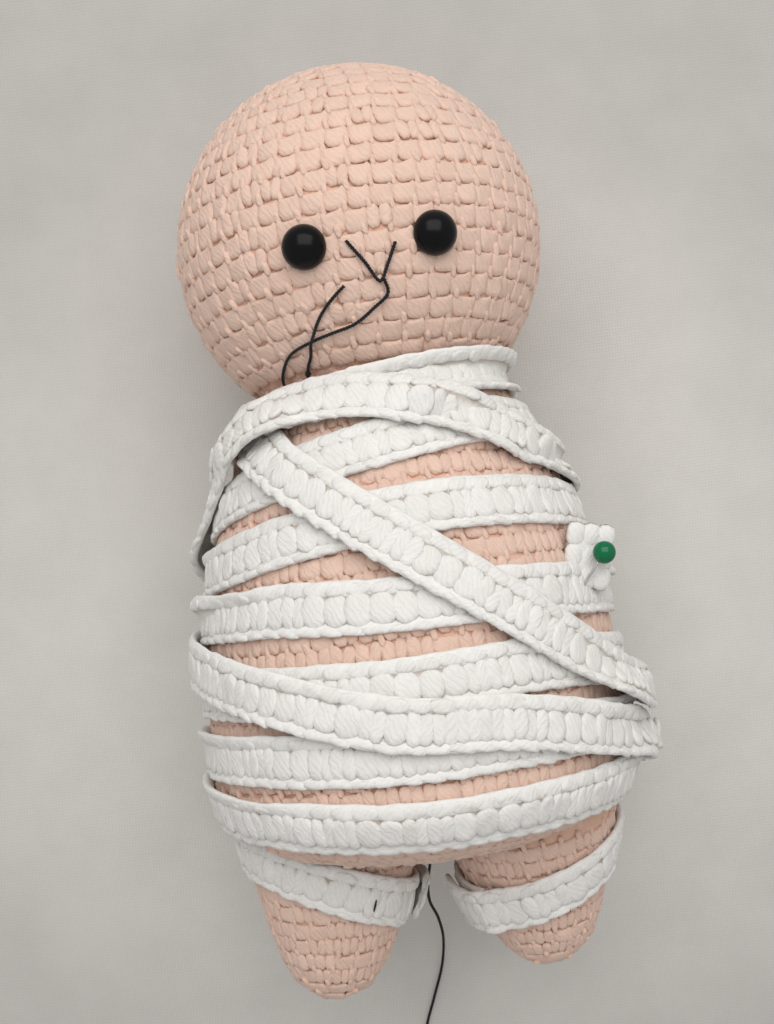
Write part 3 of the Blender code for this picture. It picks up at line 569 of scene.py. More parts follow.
def lobe(controls, radius, count=8, sides=8, flat=0.8, blunt=0.28, square=0.72):
    """A plump stretch of yarn through control points in millimetres, closed quickly at both ends."""
    share = 0.5 - 0.5 * np.cos(np.pi * np.linspace(0.0, 1.0, count))
    share = 0.5 * share + 0.5 * np.linspace(0.0, 1.0, count)
    fine = smooth_route(controls, 60) * 0.001
    points = np.stack([np.interp(share * 59.0, np.arange(60), fine[:, k]) for k in range(3)], axis=1)
    radii = radius * 0.001 * np.sin(np.pi * share) ** blunt
    return strand(points, radii, sides, flat, square)


def pillow(x, y, half_x, half_y, lean, height=0.5, deep=-0.8, sides=8, square=2.8, grain=1.0, notch=0.0):
    """A flat plump stretch of yarn in millimetres: a closed dome on a rounded outline, leaning by degrees."""
    angle = 2.0 * math.pi * (np.arange(sides) + 0.5) / sides
    c, s = np.cos(angle), np.sin(angle)
    outline = np.stack([
        half_x * np.sign(c) * np.abs(c) ** (2.0 / square), half_y * np.sign(s) * np.abs(s) ** (2.0 / square),
    ], axis=1)
    outline[(s > 0.0) & (np.abs(c) < 0.5), 1] -= notch
    flats, rises = [], []
    for share, rise in ((0.90, deep), (1.0, -0.25), (0.88, 0.58 * height), (0.55, 0.92 * height)):
        flats.append(outline * share)
        rises.append(np.full(sides, rise))
    flat = np.concatenate(flats + [np.zeros((2, 2))])
    rise = np.concatenate(rises + [np.array([deep, height])])
    turn = math.radians(lean)
    c, s = math.cos(turn), math.sin(turn)
    aside, along = x + c * flat[:, 0] - s * flat[:, 1], y + s * flat[:, 0] + c * flat[:, 1]
    points = np.stack([aside, along, rise], axis=1) * 0.001
    points, faces, _ = tube(points[:-2].reshape(len(flats), sides, 3), np.zeros(len(flats)), points[-2:])
    marks = [(grain * flat[index, 0] / 3.9, 0.8 * flat[index, 1]) for face in faces for index in face]
    return points, faces, marks, rise


def mark_points(mesh, label, values):
    """Give each point of a mesh a number."""
    layer = mesh.attributes.new(label, "FLOAT", "POINT")
    layer.data.foreach_set("value", np.asarray(values, np.float32))


def mesh_of(name, parts):
    """Join (points, faces, marks) parts to one mesh, its marks as a UV map and its rise on its points."""
    verts, faces, marks, rises, start = [], [], [], [], 0
    for points, part_faces, part_marks, *rise in parts:
        verts.append(points)
        rises.append(rise[0] if rise else np.ones(len(points)))
        faces += [tuple(start + index for index in face) for face in part_faces]
        marks += part_marks
        start += len(points)
    mesh = bpy.data.meshes.new(name)
    mesh.from_pydata(np.concatenate(verts).tolist(), [], faces)
    layer = mesh.uv_layers.new(name="UVMap")
    layer.data.foreach_set("uv", np.array(marks, np.float32).ravel())
    mark_points(mesh, "rise", np.concatenate(rises))
    mesh.shade_smooth()
    mesh.update()
    return mesh


def add_piece(name, mesh, material=None):
    """Link a piece at the origin, with its place in its mesh."""
    item = bpy.data.objects.new(name, mesh)
    bpy.context.scene.collection.objects.link(item)
    if material:
        mesh.materials.clear()
        mesh.materials.append(material)
    return item


def node_copy(node, inset=0.0, shade=None):
    """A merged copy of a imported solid's mesh, drawn in by an inset."""
    mesh = frame["nodes"][node].data.copy()
    form = bmesh.new()
    form.from_mesh(mesh)
    bmesh.ops.remove_doubles(form, verts=form.verts, dist=0.00002)
    form.normal_update()
    if inset:
        moves = [(vert, vert.co - vert.normal * inset) for vert in form.verts]
        for vert, place in moves:
            vert.co = place
    form.to_mesh(mesh)
    form.free()
    mesh.shade_smooth()
    # A shade of -1 gives the copy the yarn's darker colour, painted shade for the ground under the stitches.
    if shade is not None:
        mark_points(mesh, "shade", np.full(len(mesh.vertices), shade))
    if not mesh.uv_layers:
        mesh.uv_layers.new(name="UVMap")
    return mesh


def turned_piece(name, profile, steps, matrix, material):
    """Turn a profile of (radius, height), top to bottom, from pole to pole, about a placed axis."""
    profile = np.array(profile, float)
    angle = 2.0 * math.pi * np.arange(steps) / steps
    rings = np.stack([
        profile[1:-1, 0:1] * np.sin(angle), -profile[1:-1, 0:1] * np.cos(angle),
        profile[1:-1, 1:2] + 0.0 * angle,
    ], axis=-1)
    rings = rings[:, ::-1]
    ends = np.array([[0.0, 0.0, profile[0, 1]], [0.0, 0.0, profile[-1, 1]]])
    along = np.cumsum(np.linalg.norm(np.diff(profile[:-1], axis=0), axis=1))
    points, faces, marks = tube(rings, along, ends)
    return add_piece(name, mesh_of(name, [(placed(points, matrix), faces, marks)]), material)


def press_flat(mesh):
    """Flatten what would go under the floor."""
    count = len(mesh.vertices)
    places = np.zeros(count * 3, np.float32)
    mesh.vertices.foreach_get("co", places)
    places = places.reshape(-1, 3)
    low = places[:, 2] < FLOOR_ROOM
    places[low, 2] = FLOOR_ROOM + 0.02 * (places[low, 2] - FLOOR_ROOM)
    mesh.vertices.foreach_set("co", places.ravel())
    mesh.update()


# Geometry Nodes


class Wiring:
    """Helpers that add nodes to a tree and link them."""

    def __init__(self, tree):
        self.nodes = tree.nodes
        self.links = tree.links

    def fill(self, socket, value):
        """Link a socket to another one, or give it a constant."""
        if isinstance(value, bpy.types.NodeSocket):
            self.links.new(value, socket)
        else:
            socket.default_value = value

    def add(self, kind, **values):
        """Add a node; values are its properties, or its inputs where it has no such property."""
        node = self.nodes.new(kind)
        for label, value in values.items():
            if hasattr(node, label):
                setattr(node, label, value)
            else:
                self.fill(node.inputs[label.replace("_", " ")], value)
        return node

    def sum_of(self, operation, *values):
        """A math node's result."""
        node = self.nodes.new("ShaderNodeMath")
        node.operation = operation
        for socket, value in zip(node.inputs, values):
            self.fill(socket, value)
        return node.outputs[0]


STITCH_SOCKETS = [
    ("Points", "Geometry"), ("Backing", "Object"), ("Shapes", "Collection"), ("Unevenness", "Float"),
    ("Size change", "Float"), ("Wander", "Float"), ("Seed", "Int"), ("Yarn", "Material"),
]
WANDER_SCALE = 330.0


def stitch_tree():
    """The tree that sets stitch shapes on marked points, over a backing."""
    name = "set stitches"
    if name in bpy.data.node_groups:
        return bpy.data.node_groups[name]
    tree = bpy.data.node_groups.new(name, "GeometryNodeTree")
    for label, kind in STITCH_SOCKETS:
        tree.interface.new_socket(label, in_out="INPUT", socket_type="NodeSocket" + kind)
    tree.interface.new_socket("Geometry", in_out="OUTPUT", socket_type="NodeSocketGeometry")
    wiring = Wiring(tree)
    add = wiring.add
    given = add("NodeGroupInput").outputs
    uneven, change, seed = given["Unevenness"], given["Size change"], given["Seed"]

    def marked(attribute, kind):
        return add("GeometryNodeInputNamedAttribute", data_type=kind, Name=attribute).outputs["Attribute"]

    def between(low, high):
        node = add("FunctionNodeRandomValue", data_type="FLOAT_VECTOR", Min=low, Max=high, Seed=seed)
        return node.outputs["Value"]

    turn = add(
        "FunctionNodeAxesToRotation", primary_axis="Z", secondary_axis="Y",
        Primary_Axis=marked("out", "FLOAT_VECTOR"), Secondary_Axis=marked("up", "FLOAT_VECTOR"),
    ).outputs["Rotation"]
    wobble = between(wiring.sum_of("MULTIPLY", uneven, -1.0), uneven)
    wobble = add("FunctionNodeEulerToRotation", Euler=wobble).outputs["Rotation"]
    turn = add("FunctionNodeRotateRotation", rotation_space="LOCAL", Rotation=turn, Rotate_By=wobble)
    size = add("ShaderNodeVectorMath", operation="MULTIPLY", Vector=marked("size", "FLOAT_VECTOR"))
    spread_of_size = between(wiring.sum_of("SUBTRACT", 1.0, change), wiring.sum_of("ADD", 1.0, change))
    wiring.fill(size.inputs[1], spread_of_size)

    shapes = add(
        "GeometryNodeCollectionInfo", Separate_Children=True, Reset_Children=True, Collection=given["Shapes"]
    )
    place = add(
        "GeometryNodeInstanceOnPoints", Pick_Instance=True, Points=given["Points"],
        Instance=shapes.outputs["Instances"], Instance_Index=marked("kind", "INT"),
        Rotation=turn.outputs["Rotation"], Scale=size.outputs["Vector"],
    )
    tint = add("FunctionNodeRandomValue", data_type="FLOAT", Min=0.0, Max=1.0, Seed=seed)
    store = add(
        "GeometryNodeStoreNamedAttribute", data_type="FLOAT", domain="INSTANCE", Name="shade",
        Geometry=place.outputs["Instances"], Value=tint.outputs["Value"],
    )
    real = add("GeometryNodeRealizeInstances", Geometry=store.outputs["Geometry"])

    clouds = add("ShaderNodeTexNoise", Scale=WANDER_SCALE, Detail=2.0)
    centred = add("ShaderNodeVectorMath", operation="SUBTRACT", Vector=clouds.outputs["Color"])
    centred.inputs[1].default_value = (0.5, 0.5, 0.5)
    drift = add(
        "ShaderNodeVectorMath", operation="SCALE", Vector=centred.outputs["Vector"], Scale=given["Wander"]
    )
    moved = add(
        "GeometryNodeSetPosition", Geometry=real.outputs["Geometry"], Offset=drift.outputs["Vector"]
    ).outputs["Geometry"]
    backing = add("GeometryNodeObjectInfo", Object=given["Backing"])
    join = add("GeometryNodeJoinGeometry", Geometry=moved)
    wiring.links.new(backing.outputs["Geometry"], join.inputs["Geometry"])
    finish = add("GeometryNodeSetMaterial", Geometry=join.outputs["Geometry"], Material=given["Yarn"])
    add("NodeGroupOutput", Geometry=finish.outputs["Geometry"])
    return tree


def shape_set(name, meshes):
    """A collection of stitch shapes, numbered in the order of their names."""
    group = bpy.data.collections.new(name)
    for number, mesh in enumerate(meshes):
        group.objects.link(bpy.data.objects.new(f"{name}_{number:02d}", mesh))
    return group


def drop_shapes(group):
    """Remove a set of stitch shapes."""
    for item in list(group.objects):
        mesh = item.data
        bpy.data.objects.remove(item, do_unlink=True)
        bpy.data.meshes.remove(mesh)
    bpy.data.collections.remove(group)


def set_stitches(name, marks, shapes, material, seed, backing=None):
    """Set stitches on marks and return them as one plain piece."""
    sizes, _, _ = settings()
    mesh = bpy.data.meshes.new(name + "_marks")
    mesh.from_pydata(marks["point"].tolist(), [], [])
    for label in ("out", "up", "size"):
        layer = mesh.attributes.new(label, "FLOAT_VECTOR", "POINT")
        layer.data.foreach_set("vector", np.asarray(marks[label], np.float32).ravel())
    layer = mesh.attributes.new("kind", "INT", "POINT")
    layer.data.foreach_set("value", np.asarray(marks["kind"], np.int32))
    holder = bpy.data.objects.new(name + "_marks", mesh)
    bpy.context.scene.collection.objects.link(holder)
    step = holder.modifiers.new("stitches", "NODES")
    step.node_group = stitch_tree()
    given = {
        item.name: item.identifier
        for item in step.node_group.interface.items_tree
        if item.item_type == "SOCKET" and item.in_out == "INPUT"
    }
    base = None
    if backing:
        base = bpy.data.objects.new(name + "_backing", backing)
        bpy.context.scene.collection.objects.link(base)
        step[given["Backing"]] = base
    step[given["Shapes"]] = shapes
    step[given["Unevenness"]] = sizes.unevenness
    step[given["Size change"]] = sizes.size_change
    step[given["Wander"]] = sizes.wander
    step[given["Seed"]] = sizes.seed + seed
    step[given["Yarn"]] = material
    bpy.context.view_layer.update()
    evaluated = bpy.context.evaluated_depsgraph_get()
    result = bpy.data.meshes.new_from_object(
        holder.evaluated_get(evaluated), preserve_all_data_layers=True, depsgraph=evaluated
    )
    for item in (holder, base):
        if item:
            used = item.data
            bpy.data.objects.remove(item, do_unlink=True)
            bpy.data.meshes.remove(used)
    if len(result.polygons) < len(marks["point"]):
        raise RuntimeError(f"{name}: the stitches were not set")
    result.name = name
    result.materials.clear()
    result.materials.append(material)
    result.shade_smooth()
    press_flat(result)
    return add_piece(name, result)


# Materials


class Finish(Wiring):
    """A material with a Principled shader and helpers to build its pattern."""

    def __init__(self, name, roughness, **constants):
        self.material = bpy.data.materials.new(name)
        self.material.use_nodes = True
        super().__init__(self.material.node_tree)
        self.shader = self.nodes["Principled BSDF"]
        self.shader.inputs["Roughness"].default_value = roughness
        for label, value in constants.items():
            self.shader.inputs[label.replace("_", " ")].default_value = value

    def noise(self, scale, detail=3.0, roughness=0.6, vector=None):
        """Noise in object space, or on a given vector."""
        if vector is None:
            vector = self.add("ShaderNodeTexCoord").outputs["Object"]
        return self.add(
            "ShaderNodeTexNoise", Scale=scale, Detail=detail, Roughness=roughness, Vector=vector
        ).outputs["Fac"]

    def ramp(self, factor, stops):
        """A colour ramp's colour."""
        node = self.nodes.new("ShaderNodeValToRGB")
        while len(node.color_ramp.elements) < len(stops):
            node.color_ramp.elements.new(0.5)
        for element, (place, colour) in zip(node.color_ramp.elements, stops):
            element.position = place
            element.color = (*colour, 1.0)
        self.links.new(factor, node.inputs["Fac"])
        return node.outputs["Color"]

    def tinted(self, colour, factor, low, high):
        """A colour made darker and lighter by a factor."""
        scale = self.add("ShaderNodeMapRange", Value=factor, To_Min=low, To_Max=high).outputs["Result"]
        node = self.add("ShaderNodeVectorMath", operation="SCALE", Vector=colour, Scale=scale)
        return node.outputs["Vector"]

    def attribute(self, label):
        """A point attribute's value."""
        return self.add("ShaderNodeAttribute", attribute_name=label).outputs["Fac"]

    def blend(self, factor, first, second):
        """A mix of two colours."""
        node = self.add("ShaderNodeMix", data_type="RGBA")
        for label, value in (("Factor", factor), ("A", first), ("B", second)):
            self.fill(node.inputs[label], value)
        return node.outputs["Result"]

    def bump(self, height, strength, distance):
        """Relief on the shader's normal."""
        node = self.add("ShaderNodeBump", Strength=strength, Distance=distance, Height=height)
        self.links.new(node.outputs["Normal"], self.shader.inputs["Normal"])

    def paint(self, colour):
        """Give the shader its colour."""
        self.links.new(colour, self.shader.inputs["Base Color"])
        return self.material


FIBRE_SCALE = 420.0


def scaled(colour, factors):
    """A colour with each channel scaled."""
    return tuple(channel * factor for channel, factor in zip(colour, factors))


def yarn_finish(name, colour, deep, plies=3.0, turn=1.6, relief=0.0002, hole_shade_factor=1.0):
    """Soft spun yarn: plies that wind along each strand, loose fibres, and painted shade: the ground under
    the stitches and the low parts of each stitch take a darker colour.
    """
    look = Finish(name, 0.88, Sheen_Weight=0.18, Sheen_Roughness=0.45, Specular_IOR_Level=0.25)
    shade = look.attribute("shade")
    # Painted shade: the ground marked -1 takes a darker colour, as if shaded in the gaps between stitches;
    # stitches take a random tone between 0 and 1.
    ground_shade_colour = scaled(deep, (hole_shade_factor, 0.94 * hole_shade_factor, 0.90 * hole_shade_factor) if hole_shade_factor < 1.0 else (1.0, 1.0, 1.0))
    base = look.ramp(
        look.sum_of("MULTIPLY_ADD", shade, 0.5, 0.5),
        [(0.0, ground_shade_colour), (0.5, scaled(colour, (0.955, 0.945, 0.94))), (1.0, colour)],
    )
    # Painted shade: the lower a point of a stitch lies, the more it takes the deep colour, as if shaded in
    # the hollows between stitches.
    rise = look.attribute("rise")
    hollow_shade = look.add("ShaderNodeMapRange", Value=rise, From_Min=0.15, From_Max=-0.45).outputs["Result"]
    base = look.blend(hollow_shade, base, (*deep, 1.0))
    marks = look.add("ShaderNodeUVMap", uv_map="UVMap").outputs["UV"]
    across, along, _ = look.add("ShaderNodeSeparateXYZ", Vector=marks).outputs
    turned = look.sum_of(
        "ADD", look.sum_of("MULTIPLY", across, plies), look.sum_of("DIVIDE", along, turn)
    )
    wave = look.sum_of("ADD", turned, look.sum_of("MULTIPLY", look.noise(FIBRE_SCALE), 2.4))
    wave = look.sum_of("ABSOLUTE", look.sum_of("SINE", look.sum_of("MULTIPLY", wave, math.pi)))
    drawn = look.add(
        "ShaderNodeCombineXYZ",
        X=look.sum_of("MULTIPLY", turned, 5.0), Y=look.sum_of("MULTIPLY", along, 0.5), Z=shade,
    ).outputs["Vector"]
    fibres = look.noise(1.0, 4.0, 0.7, drawn)
    height = look.sum_of("ADD", look.sum_of("MULTIPLY", wave, 0.4), look.sum_of("MULTIPLY", fibres, 0.9))
    look.bump(height, 1.0, relief)
    # Painted shade: the valleys between the plies are made slightly darker; the fibre streaks and the
    # mottling are a random tone.
    ply_shade_and_streaks = look.tinted(look.tinted(base, wave, 0.965, 1.01), fibres, 0.93, 1.07)
    return look.paint(look.tinted(ply_shade_and_streaks, look.noise(FIBRE_SCALE, 4.0, 0.65), 0.94, 1.06))


def wadding_finish(name, lining):
    """White fibre filling, with the colour of the crochet where it lines a socket."""
    look = Finish(name, 1.0, Sheen_Weight=0.3)
    fluff = look.noise(260.0, 6.0, 0.7)
    look.bump(fluff, 0.8, 0.0008)
    fibre = look.ramp(fluff, [(0.3, (0.70, 0.70, 0.68)), (0.7, (0.86, 0.86, 0.84))])
    yarn = look.ramp(fluff, [(0.3, scaled(lining, (0.85, 0.80, 0.76))), (0.7, lining)])
    return look.paint(look.blend(look.attribute("lining"), fibre, yarn))


def gloss_finish(name, colour, roughness, coat, shine):
    """Moulded plastic or glass with a clear surface and faint unevenness."""
    look = Finish(name, roughness, Coat_Weight=coat, Coat_Roughness=0.05, Specular_IOR_Level=shine)
    cloud = look.noise(90.0, 2.0)
    look.bump(look.noise(700.0, 3.0), 0.05, 0.00004)
    dark, light = (scaled(colour, [share] * 3) for share in (0.8, 1.2))
    return look.paint(look.ramp(cloud, [(0.3, dark), (0.7, light)]))


def washer_finish(name):
    """Grey moulded plastic."""
    look = Finish(name, 0.5)
    grain = look.noise(900.0)
    look.bump(grain, 0.2, 0.00005)
    return look.paint(look.ramp(grain, [(0.3, (0.52, 0.52, 0.52)), (0.7, (0.62, 0.62, 0.62))]))


def steel_finish(name):
    """Drawn bright steel."""
    look = Finish(name, 0.22, Metallic=1.0)
    streak = look.noise(1500.0, 2.0)
    look.bump(streak, 0.05, 0.00002)
    return look.paint(look.ramp(streak, [(0.3, (0.58, 0.58, 0.60)), (0.7, (0.72, 0.72, 0.74))]))


def linen_finish(colour):
    """Pale woven cloth with a soft uneven weave, and painted shade that darkens it away from the middle under
    the doll.
    """
    look = Finish("pale_linen", 0.95, Sheen_Weight=0.1)
    place = look.add("ShaderNodeTexCoord").outputs["Object"]
    threads = []
    for direction in ("X", "Y"):
        threads.append(look.add(
            "ShaderNodeTexWave", wave_type="BANDS", bands_direction=direction, Vector=place,
            Scale=420.0, Distortion=2.2, Detail=2.0, Detail_Scale=1.5,
        ).outputs["Fac"])
    weave = look.sum_of("ADD", threads[0], threads[1])
    soft = look.noise(45.0, 4.0, 0.6)
    look.bump(look.sum_of("ADD", look.sum_of("MULTIPLY", weave, 0.5), soft), 0.25, 0.0002)
    tone = look.sum_of("ADD", look.sum_of("MULTIPLY", weave, 0.16), look.sum_of("MULTIPLY", soft, 0.8))
    dark, light = (scaled(colour, [share] * 3) for share in (0.88, 1.03))
    cloth = look.ramp(tone, [(0.25, dark), (0.85, light)])
    # Painted shade: the cloth grows darker with distance from a point under the doll, standing in for the
    # fall of light towards the edges.
    aside = look.add("ShaderNodeVectorMath", operation="DISTANCE", Vector=place)
    aside.inputs[1].default_value = (0.0, 0.008, 0.0)
    painted_falloff = look.add(
        "ShaderNodeMapRange", interpolation_type="SMOOTHSTEP", Value=aside.outputs["Value"],
        From_Min=0.07, From_Max=0.16,
    ).outputs["Result"]
    return look.paint(look.tinted(cloth, painted_falloff, 1.0, 0.74))


def finish_named(kind):
    """The finish of a kind, made once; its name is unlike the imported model's plain materials."""
    name = kind + "_look"
    if name in bpy.data.materials:
        return bpy.data.materials[name]
    _, colours, _ = settings()
    peach, white, black = colours.peach_yarn, colours.white_yarn, colours.black_thread
    # Each yarn's second colour is its painted shade, for the ground under the stitches and the hollows.
    white_shade_colour = scaled(white, (0.84, 0.80, 0.76))
    makers = {
        "peach_yarn": lambda: yarn_finish(name, peach, scaled(peach, (0.93, 0.84, 0.77)), relief=0.00018),
        "white_yarn": lambda: yarn_finish(name, white, white_shade_colour, relief=0.00015, hole_shade_factor=0.75),
        "black_thread": lambda: yarn_finish(name, black, scaled(black, (0.6, 0.6, 0.6)), 2.0, 0.4, 0.00004),
        "fibre_filling": lambda: wadding_finish(name, scaled(peach, (0.9, 0.84, 0.80))),
        "eye_plastic": lambda: gloss_finish(name, colours.eye_plastic, 0.22, 0.0, 0.14),
        "green_glass": lambda: gloss_finish(name, colours.green_glass, 0.14, 0.15, 0.25),
        "washer_plastic": lambda: washer_finish(name),
        "bright_steel": lambda: steel_finish(name),
    }
    return makers[kind]()


# Stitches


def round_shapes():
    """The parts of a round's stitch: two legs, one plump block in place of them, and a bar beside them."""
    left = pillow(-1.12, -0.20, 1.52, 2.50, 9.0, 0.50)
    right = pillow(1.30, -0.15, 1.36, 2.46, -5.0, 0.46, grain=-1.0)
    block = pillow(0.12, -0.25, 2.68, 2.74, 2.0, 0.40, sides=12, square=3.4, notch=0.95)
    bar = pillow(-1.9, 2.15, 0.66, 1.60, 13.0, 0.50, sides=6)
    forms = {"block": block, "left_leg": left, "right_leg": right, "bar": bar}
    return [mesh_of(label, [form]) for label, form in forms.items()]


def strip_shapes():
    """The parts of a strip stitch between its two rims, and the rope over the lower rim."""
    left = pillow(-1.12, 0.32, 1.80, 3.38, 4.0, 0.38, sides=10, square=2.3)
    right = pillow(1.17, 0.32, 1.74, 3.38, -3.0, 0.35, sides=10, square=2.3, grain=-1.0)
    cap = pillow(0.0, 0.0, 2.85, 1.42, 2.0, 0.47, -0.3, 12, 2.2, -1.0)
    puff = pillow(0.0, 0.32, 2.86, 3.38, 2.0, 0.40, sides=14, square=2.15)
    rope = lobe(
        [
            (-3.0, 0.30, -0.70), (-1.5, 0.12, -0.38), (0.0, 0.0, -0.28), (1.5, -0.12, -0.38),
            (3.0, -0.30, -0.70),
        ],
        0.82, 7, 7,
    )
    forms = {"puff": puff, "left_post": left, "right_post": right, "rope": rope, "cap": cap}
    return [mesh_of(label, [form]) for label, form in forms.items()]


# Place across the strip of each part of a stitch, and its start along the strip, in stitches
STRIP_PARTS = [(0.00082, 0.0), (0.00082, 0.0), (0.00082, 0.0), (0.00445, 0.3), (-0.00350, 0.0)]
STRIP_PAIRS = 0.45
STRIP_STITCH_LIFT = 0.00100
RIM_DEPTH = 1.5
# Size of a leg's stitches against the head's, and how far stitches lie off the skin beneath
LEG_GRADE = 0.80
STITCH_LIFT = -0.00010
SKIN_INSET = 0.00025
# Stitches under the strip are pressed in by a depth, over a run from the head's and the legs' edge
TUCK_DEPTH = 0.0009
TUCK_RUN = 0.003
HEAD_TUCK = -0.0285
LEG_TUCK = -0.009
# Room that the body's stitches leave round the leg bands, the leg sockets, the neck seam and the eyes
BAND_ROOM = 0.0056
SOCKET_ROOM = 0.0045
SEAM_ROOM = 0.0012
EYE_ROOM = 0.0026
LINING_DEPTH = 0.0060
FLOOR_ROOM = 0.0001
TAB_SHADE = 0.7
# Lengths along the right leg's band, and places across it, of the ends of the thread caught in it
CAUGHT_THREAD = ((0.0301, 0.0295), (-0.0003, 0.0022))
# Sizes that the stitch shapes are drawn for
PLAIN_WIDTH = 0.0048
PLAIN_PITCH = 0.0045
PLAIN_STRIP_STITCH = 0.0044


def round_marks(profile, place, lift, keep, pairs, seed, grade=1.0):
    """Marks of stitches in rounds on a turned surface.

    lift says how far each lies out and keep which stay; pairs is the share split in two legs.
    """
    sizes, _, _ = settings()
    profile = np.array(profile, float)
    lengths = lengths_along(profile)
    slope = unit(np.gradient(profile, lengths, axis=0))
    rounds = int(round(lengths[-1] / sizes.round_pitch / grade))
    pitch = lengths[-1] / rounds
    marks = {"point": [], "out": [], "up": [], "size": []}
    start = 0.0
    for number in range(rounds):
        at = (number + 0.5) * pitch
        radius, height = (np.interp(at, lengths, profile[:, k]) for k in range(2))
        dr, dh = unit(np.array([np.interp(at, lengths, slope[:, k]) for k in range(2)]))
        count = max(6 * int(round(2.0 * math.pi * radius / sizes.stitch_width / grade / 6.0)), 6)
        start += sizes.round_drift * 2.0 * math.pi / count
        angle = start + 2.0 * math.pi * np.arange(count) / count
        radial = np.stack([np.sin(angle), -np.cos(angle), 0.0 * angle], axis=1)
        axis = np.array([0.0, 0.0, 1.0])
        marks["point"].append(radius * radial + height * axis)
        marks["out"].append(-dh * radial + dr * axis)
        marks["up"].append(-(dr * radial + dh * axis))
        wide = 2.0 * math.pi * radius / count / PLAIN_WIDTH
        marks["size"].append(np.tile([wide, pitch / PLAIN_PITCH, grade], (count, 1)))
    marks = {label: np.concatenate(values) for label, values in marks.items()}
    kept = keep(marks["point"])
    marks = {label: values[kept] for label, values in marks.items()}
    marks["point"] = marks["point"] + marks["out"] * lift(marks["point"])[:, None]
    marks["point"] = placed(marks["point"], place)
    marks["out"] = turned_over(marks["out"], place)
    marks["up"] = turned_over(marks["up"], place)
    split = np.random.default_rng(sizes.seed + seed).random(len(marks["point"])) < pairs
    parts = [~split, split, split, np.ones(len(split), bool)]
    kinds = [np.full(part.sum(), kind) for kind, part in enumerate(parts)]
    marks = {label: np.concatenate([values[part] for part in parts]) for label, values in marks.items()}
    marks["kind"] = np.concatenate(kinds)
    return marks


def strip_marks(strip, place, first, last):
    """Marks of the stitches of a strip, from stitch number first to last."""
    sizes, _, _ = settings()
    count = int(strip.length / sizes.strip_stitch)
    pitch = strip.length / count
    numbers = np.arange(first, min(last, count))
    marks = {"point": [], "out": [], "up": [], "size": [], "kind": []}
    split = np.random.default_rng(sizes.seed + first).random(len(numbers)) < STRIP_PAIRS
    every = np.ones(len(split), bool)
    chosen = [~split, split, split, every, every]
    for kind, ((across, shift), part) in enumerate(zip(STRIP_PARTS, chosen)):
        part = part & (numbers + 0.5 + shift < count - 0.45)
        u = strip.at_length((numbers[part] + 0.5 + shift) * pitch)
        point, out, upward = strip.frame(u, across + 0.0 * u)
        marks["point"].append(placed(point + out * STRIP_STITCH_LIFT, place))
        marks["out"].append(turned_over(out, place))
        marks["up"].append(turned_over(upward, place))
        marks["size"].append(np.tile([pitch / PLAIN_STRIP_STITCH, 1.0, 1.0], (len(u), 1)))
        marks["kind"].append(np.full(len(u), kind))
    return {label: np.concatenate(values) for label, values in marks.items()}


def strip_cloth(name, strip, place, material):
    """The ground of the strip: a closed ribbon with a thick rim along each edge, its web painted darker as
    shade.
    """
    u = np.linspace(0.1, len(strip.theta) - 1.1, len(strip.theta) - 1)
    section = []
    for centre, height, radius, first, last in (
        (-0.00372, 0.00072, 0.00158, 14.0, 346.0), (0.0041, 0.00050, 0.00106, 194.0, 526.0),
    ):
        for angle in np.radians(np.linspace(first, last, 12)):
            over = 0.00062 * math.sin(angle) * (1.0 if math.sin(angle) > 0.0 else RIM_DEPTH)
            section.append((centre, radius * math.cos(angle), height, over))
        section.append((0.0, 0.0, 0.0001 if centre < 0.0 else 0.0006, 0.0))
    section = section[::-1]
    rings = []
    for centre, aside, height, over in section:
        point, out, upward = strip.frame(u, centre + 0.0 * u)
        waves = [noise.noise(Vector((k * 0.55, centre * 1000.0, 3.0))) for k in range(len(u))]
        swell = 1.0 + 0.24 * np.array(waves)
        rings.append(point + out * (height + over * swell)[:, None] - upward * (aside * swell)[:, None])
    rings = np.stack(rings, axis=1)
    middle = rings.mean(axis=1)
    along = np.gradient(middle, axis=0)
    turn = np.cross(rings[:, 5] - rings[:, 4], along)
    if (turn * (rings[:, 4] - middle)).sum() < 0.0:
        rings = rings[:, ::-1]
    lengths = lengths_along(middle) * 1000.0
    points, faces, marks = tube(rings, lengths / 2.2, middle[[0, -1]])
    mesh = mesh_of(name, [(placed(points, place), faces, marks)])
    # Painted shade: the web between the rims is marked -1 and takes the yarn's darker colour, seen through
    # the gaps between stitches; the rims take a lighter tone.
    shade = np.tile([-1.0 if centre == 0.0 else 0.8 for centre, _, _, _ in section], len(u))
    mark_points(mesh, "shade", np.append(shade, [0.0, 0.0]))
    press_flat(mesh)
    return add_piece(name, mesh, material)


def twisted(line, radius, turn, swell=None):
    """Two plies twisted round a line of points, as mesh parts."""
    points, length = spread(line, turn / 9.0)
    tangent = unit(np.gradient(points, axis=0))
    side = unit(np.cross(tangent, np.array([0.13, 0.31, 0.94])))
    top = np.cross(side, tangent)
    place = np.linspace(0.0, length, len(points))
    wide = np.ones(len(points)) if swell is None else swell(place / length)
    parts = []
    for ply in range(2):
        angle = 2.0 * math.pi * (place / turn + 0.5 * ply)
        off = np.cos(angle)[:, None] * side + np.sin(angle)[:, None] * top
        centre = points + (0.58 * radius * wide)[:, None] * off
        along = unit(np.gradient(centre, axis=0))
        first = unit(side - (side * along).sum(axis=1, keepdims=True) * along)
        second = np.cross(along, first)
        turns = 2.0 * math.pi * np.arange(6) / 6
        rings = centre[:, None] + (0.54 * radius * wide)[:, None, None] * (
            np.cos(turns)[None, :, None] * first[:, None] + np.sin(turns)[None, :, None] * second[:, None]
        )
        ends = np.stack([centre[0] - along[0] * 0.3 * radius, centre[-1] + along[-1] * 0.3 * radius])
        parts.append(tube(rings, place * 1000.0, ends))
    return parts, points, length


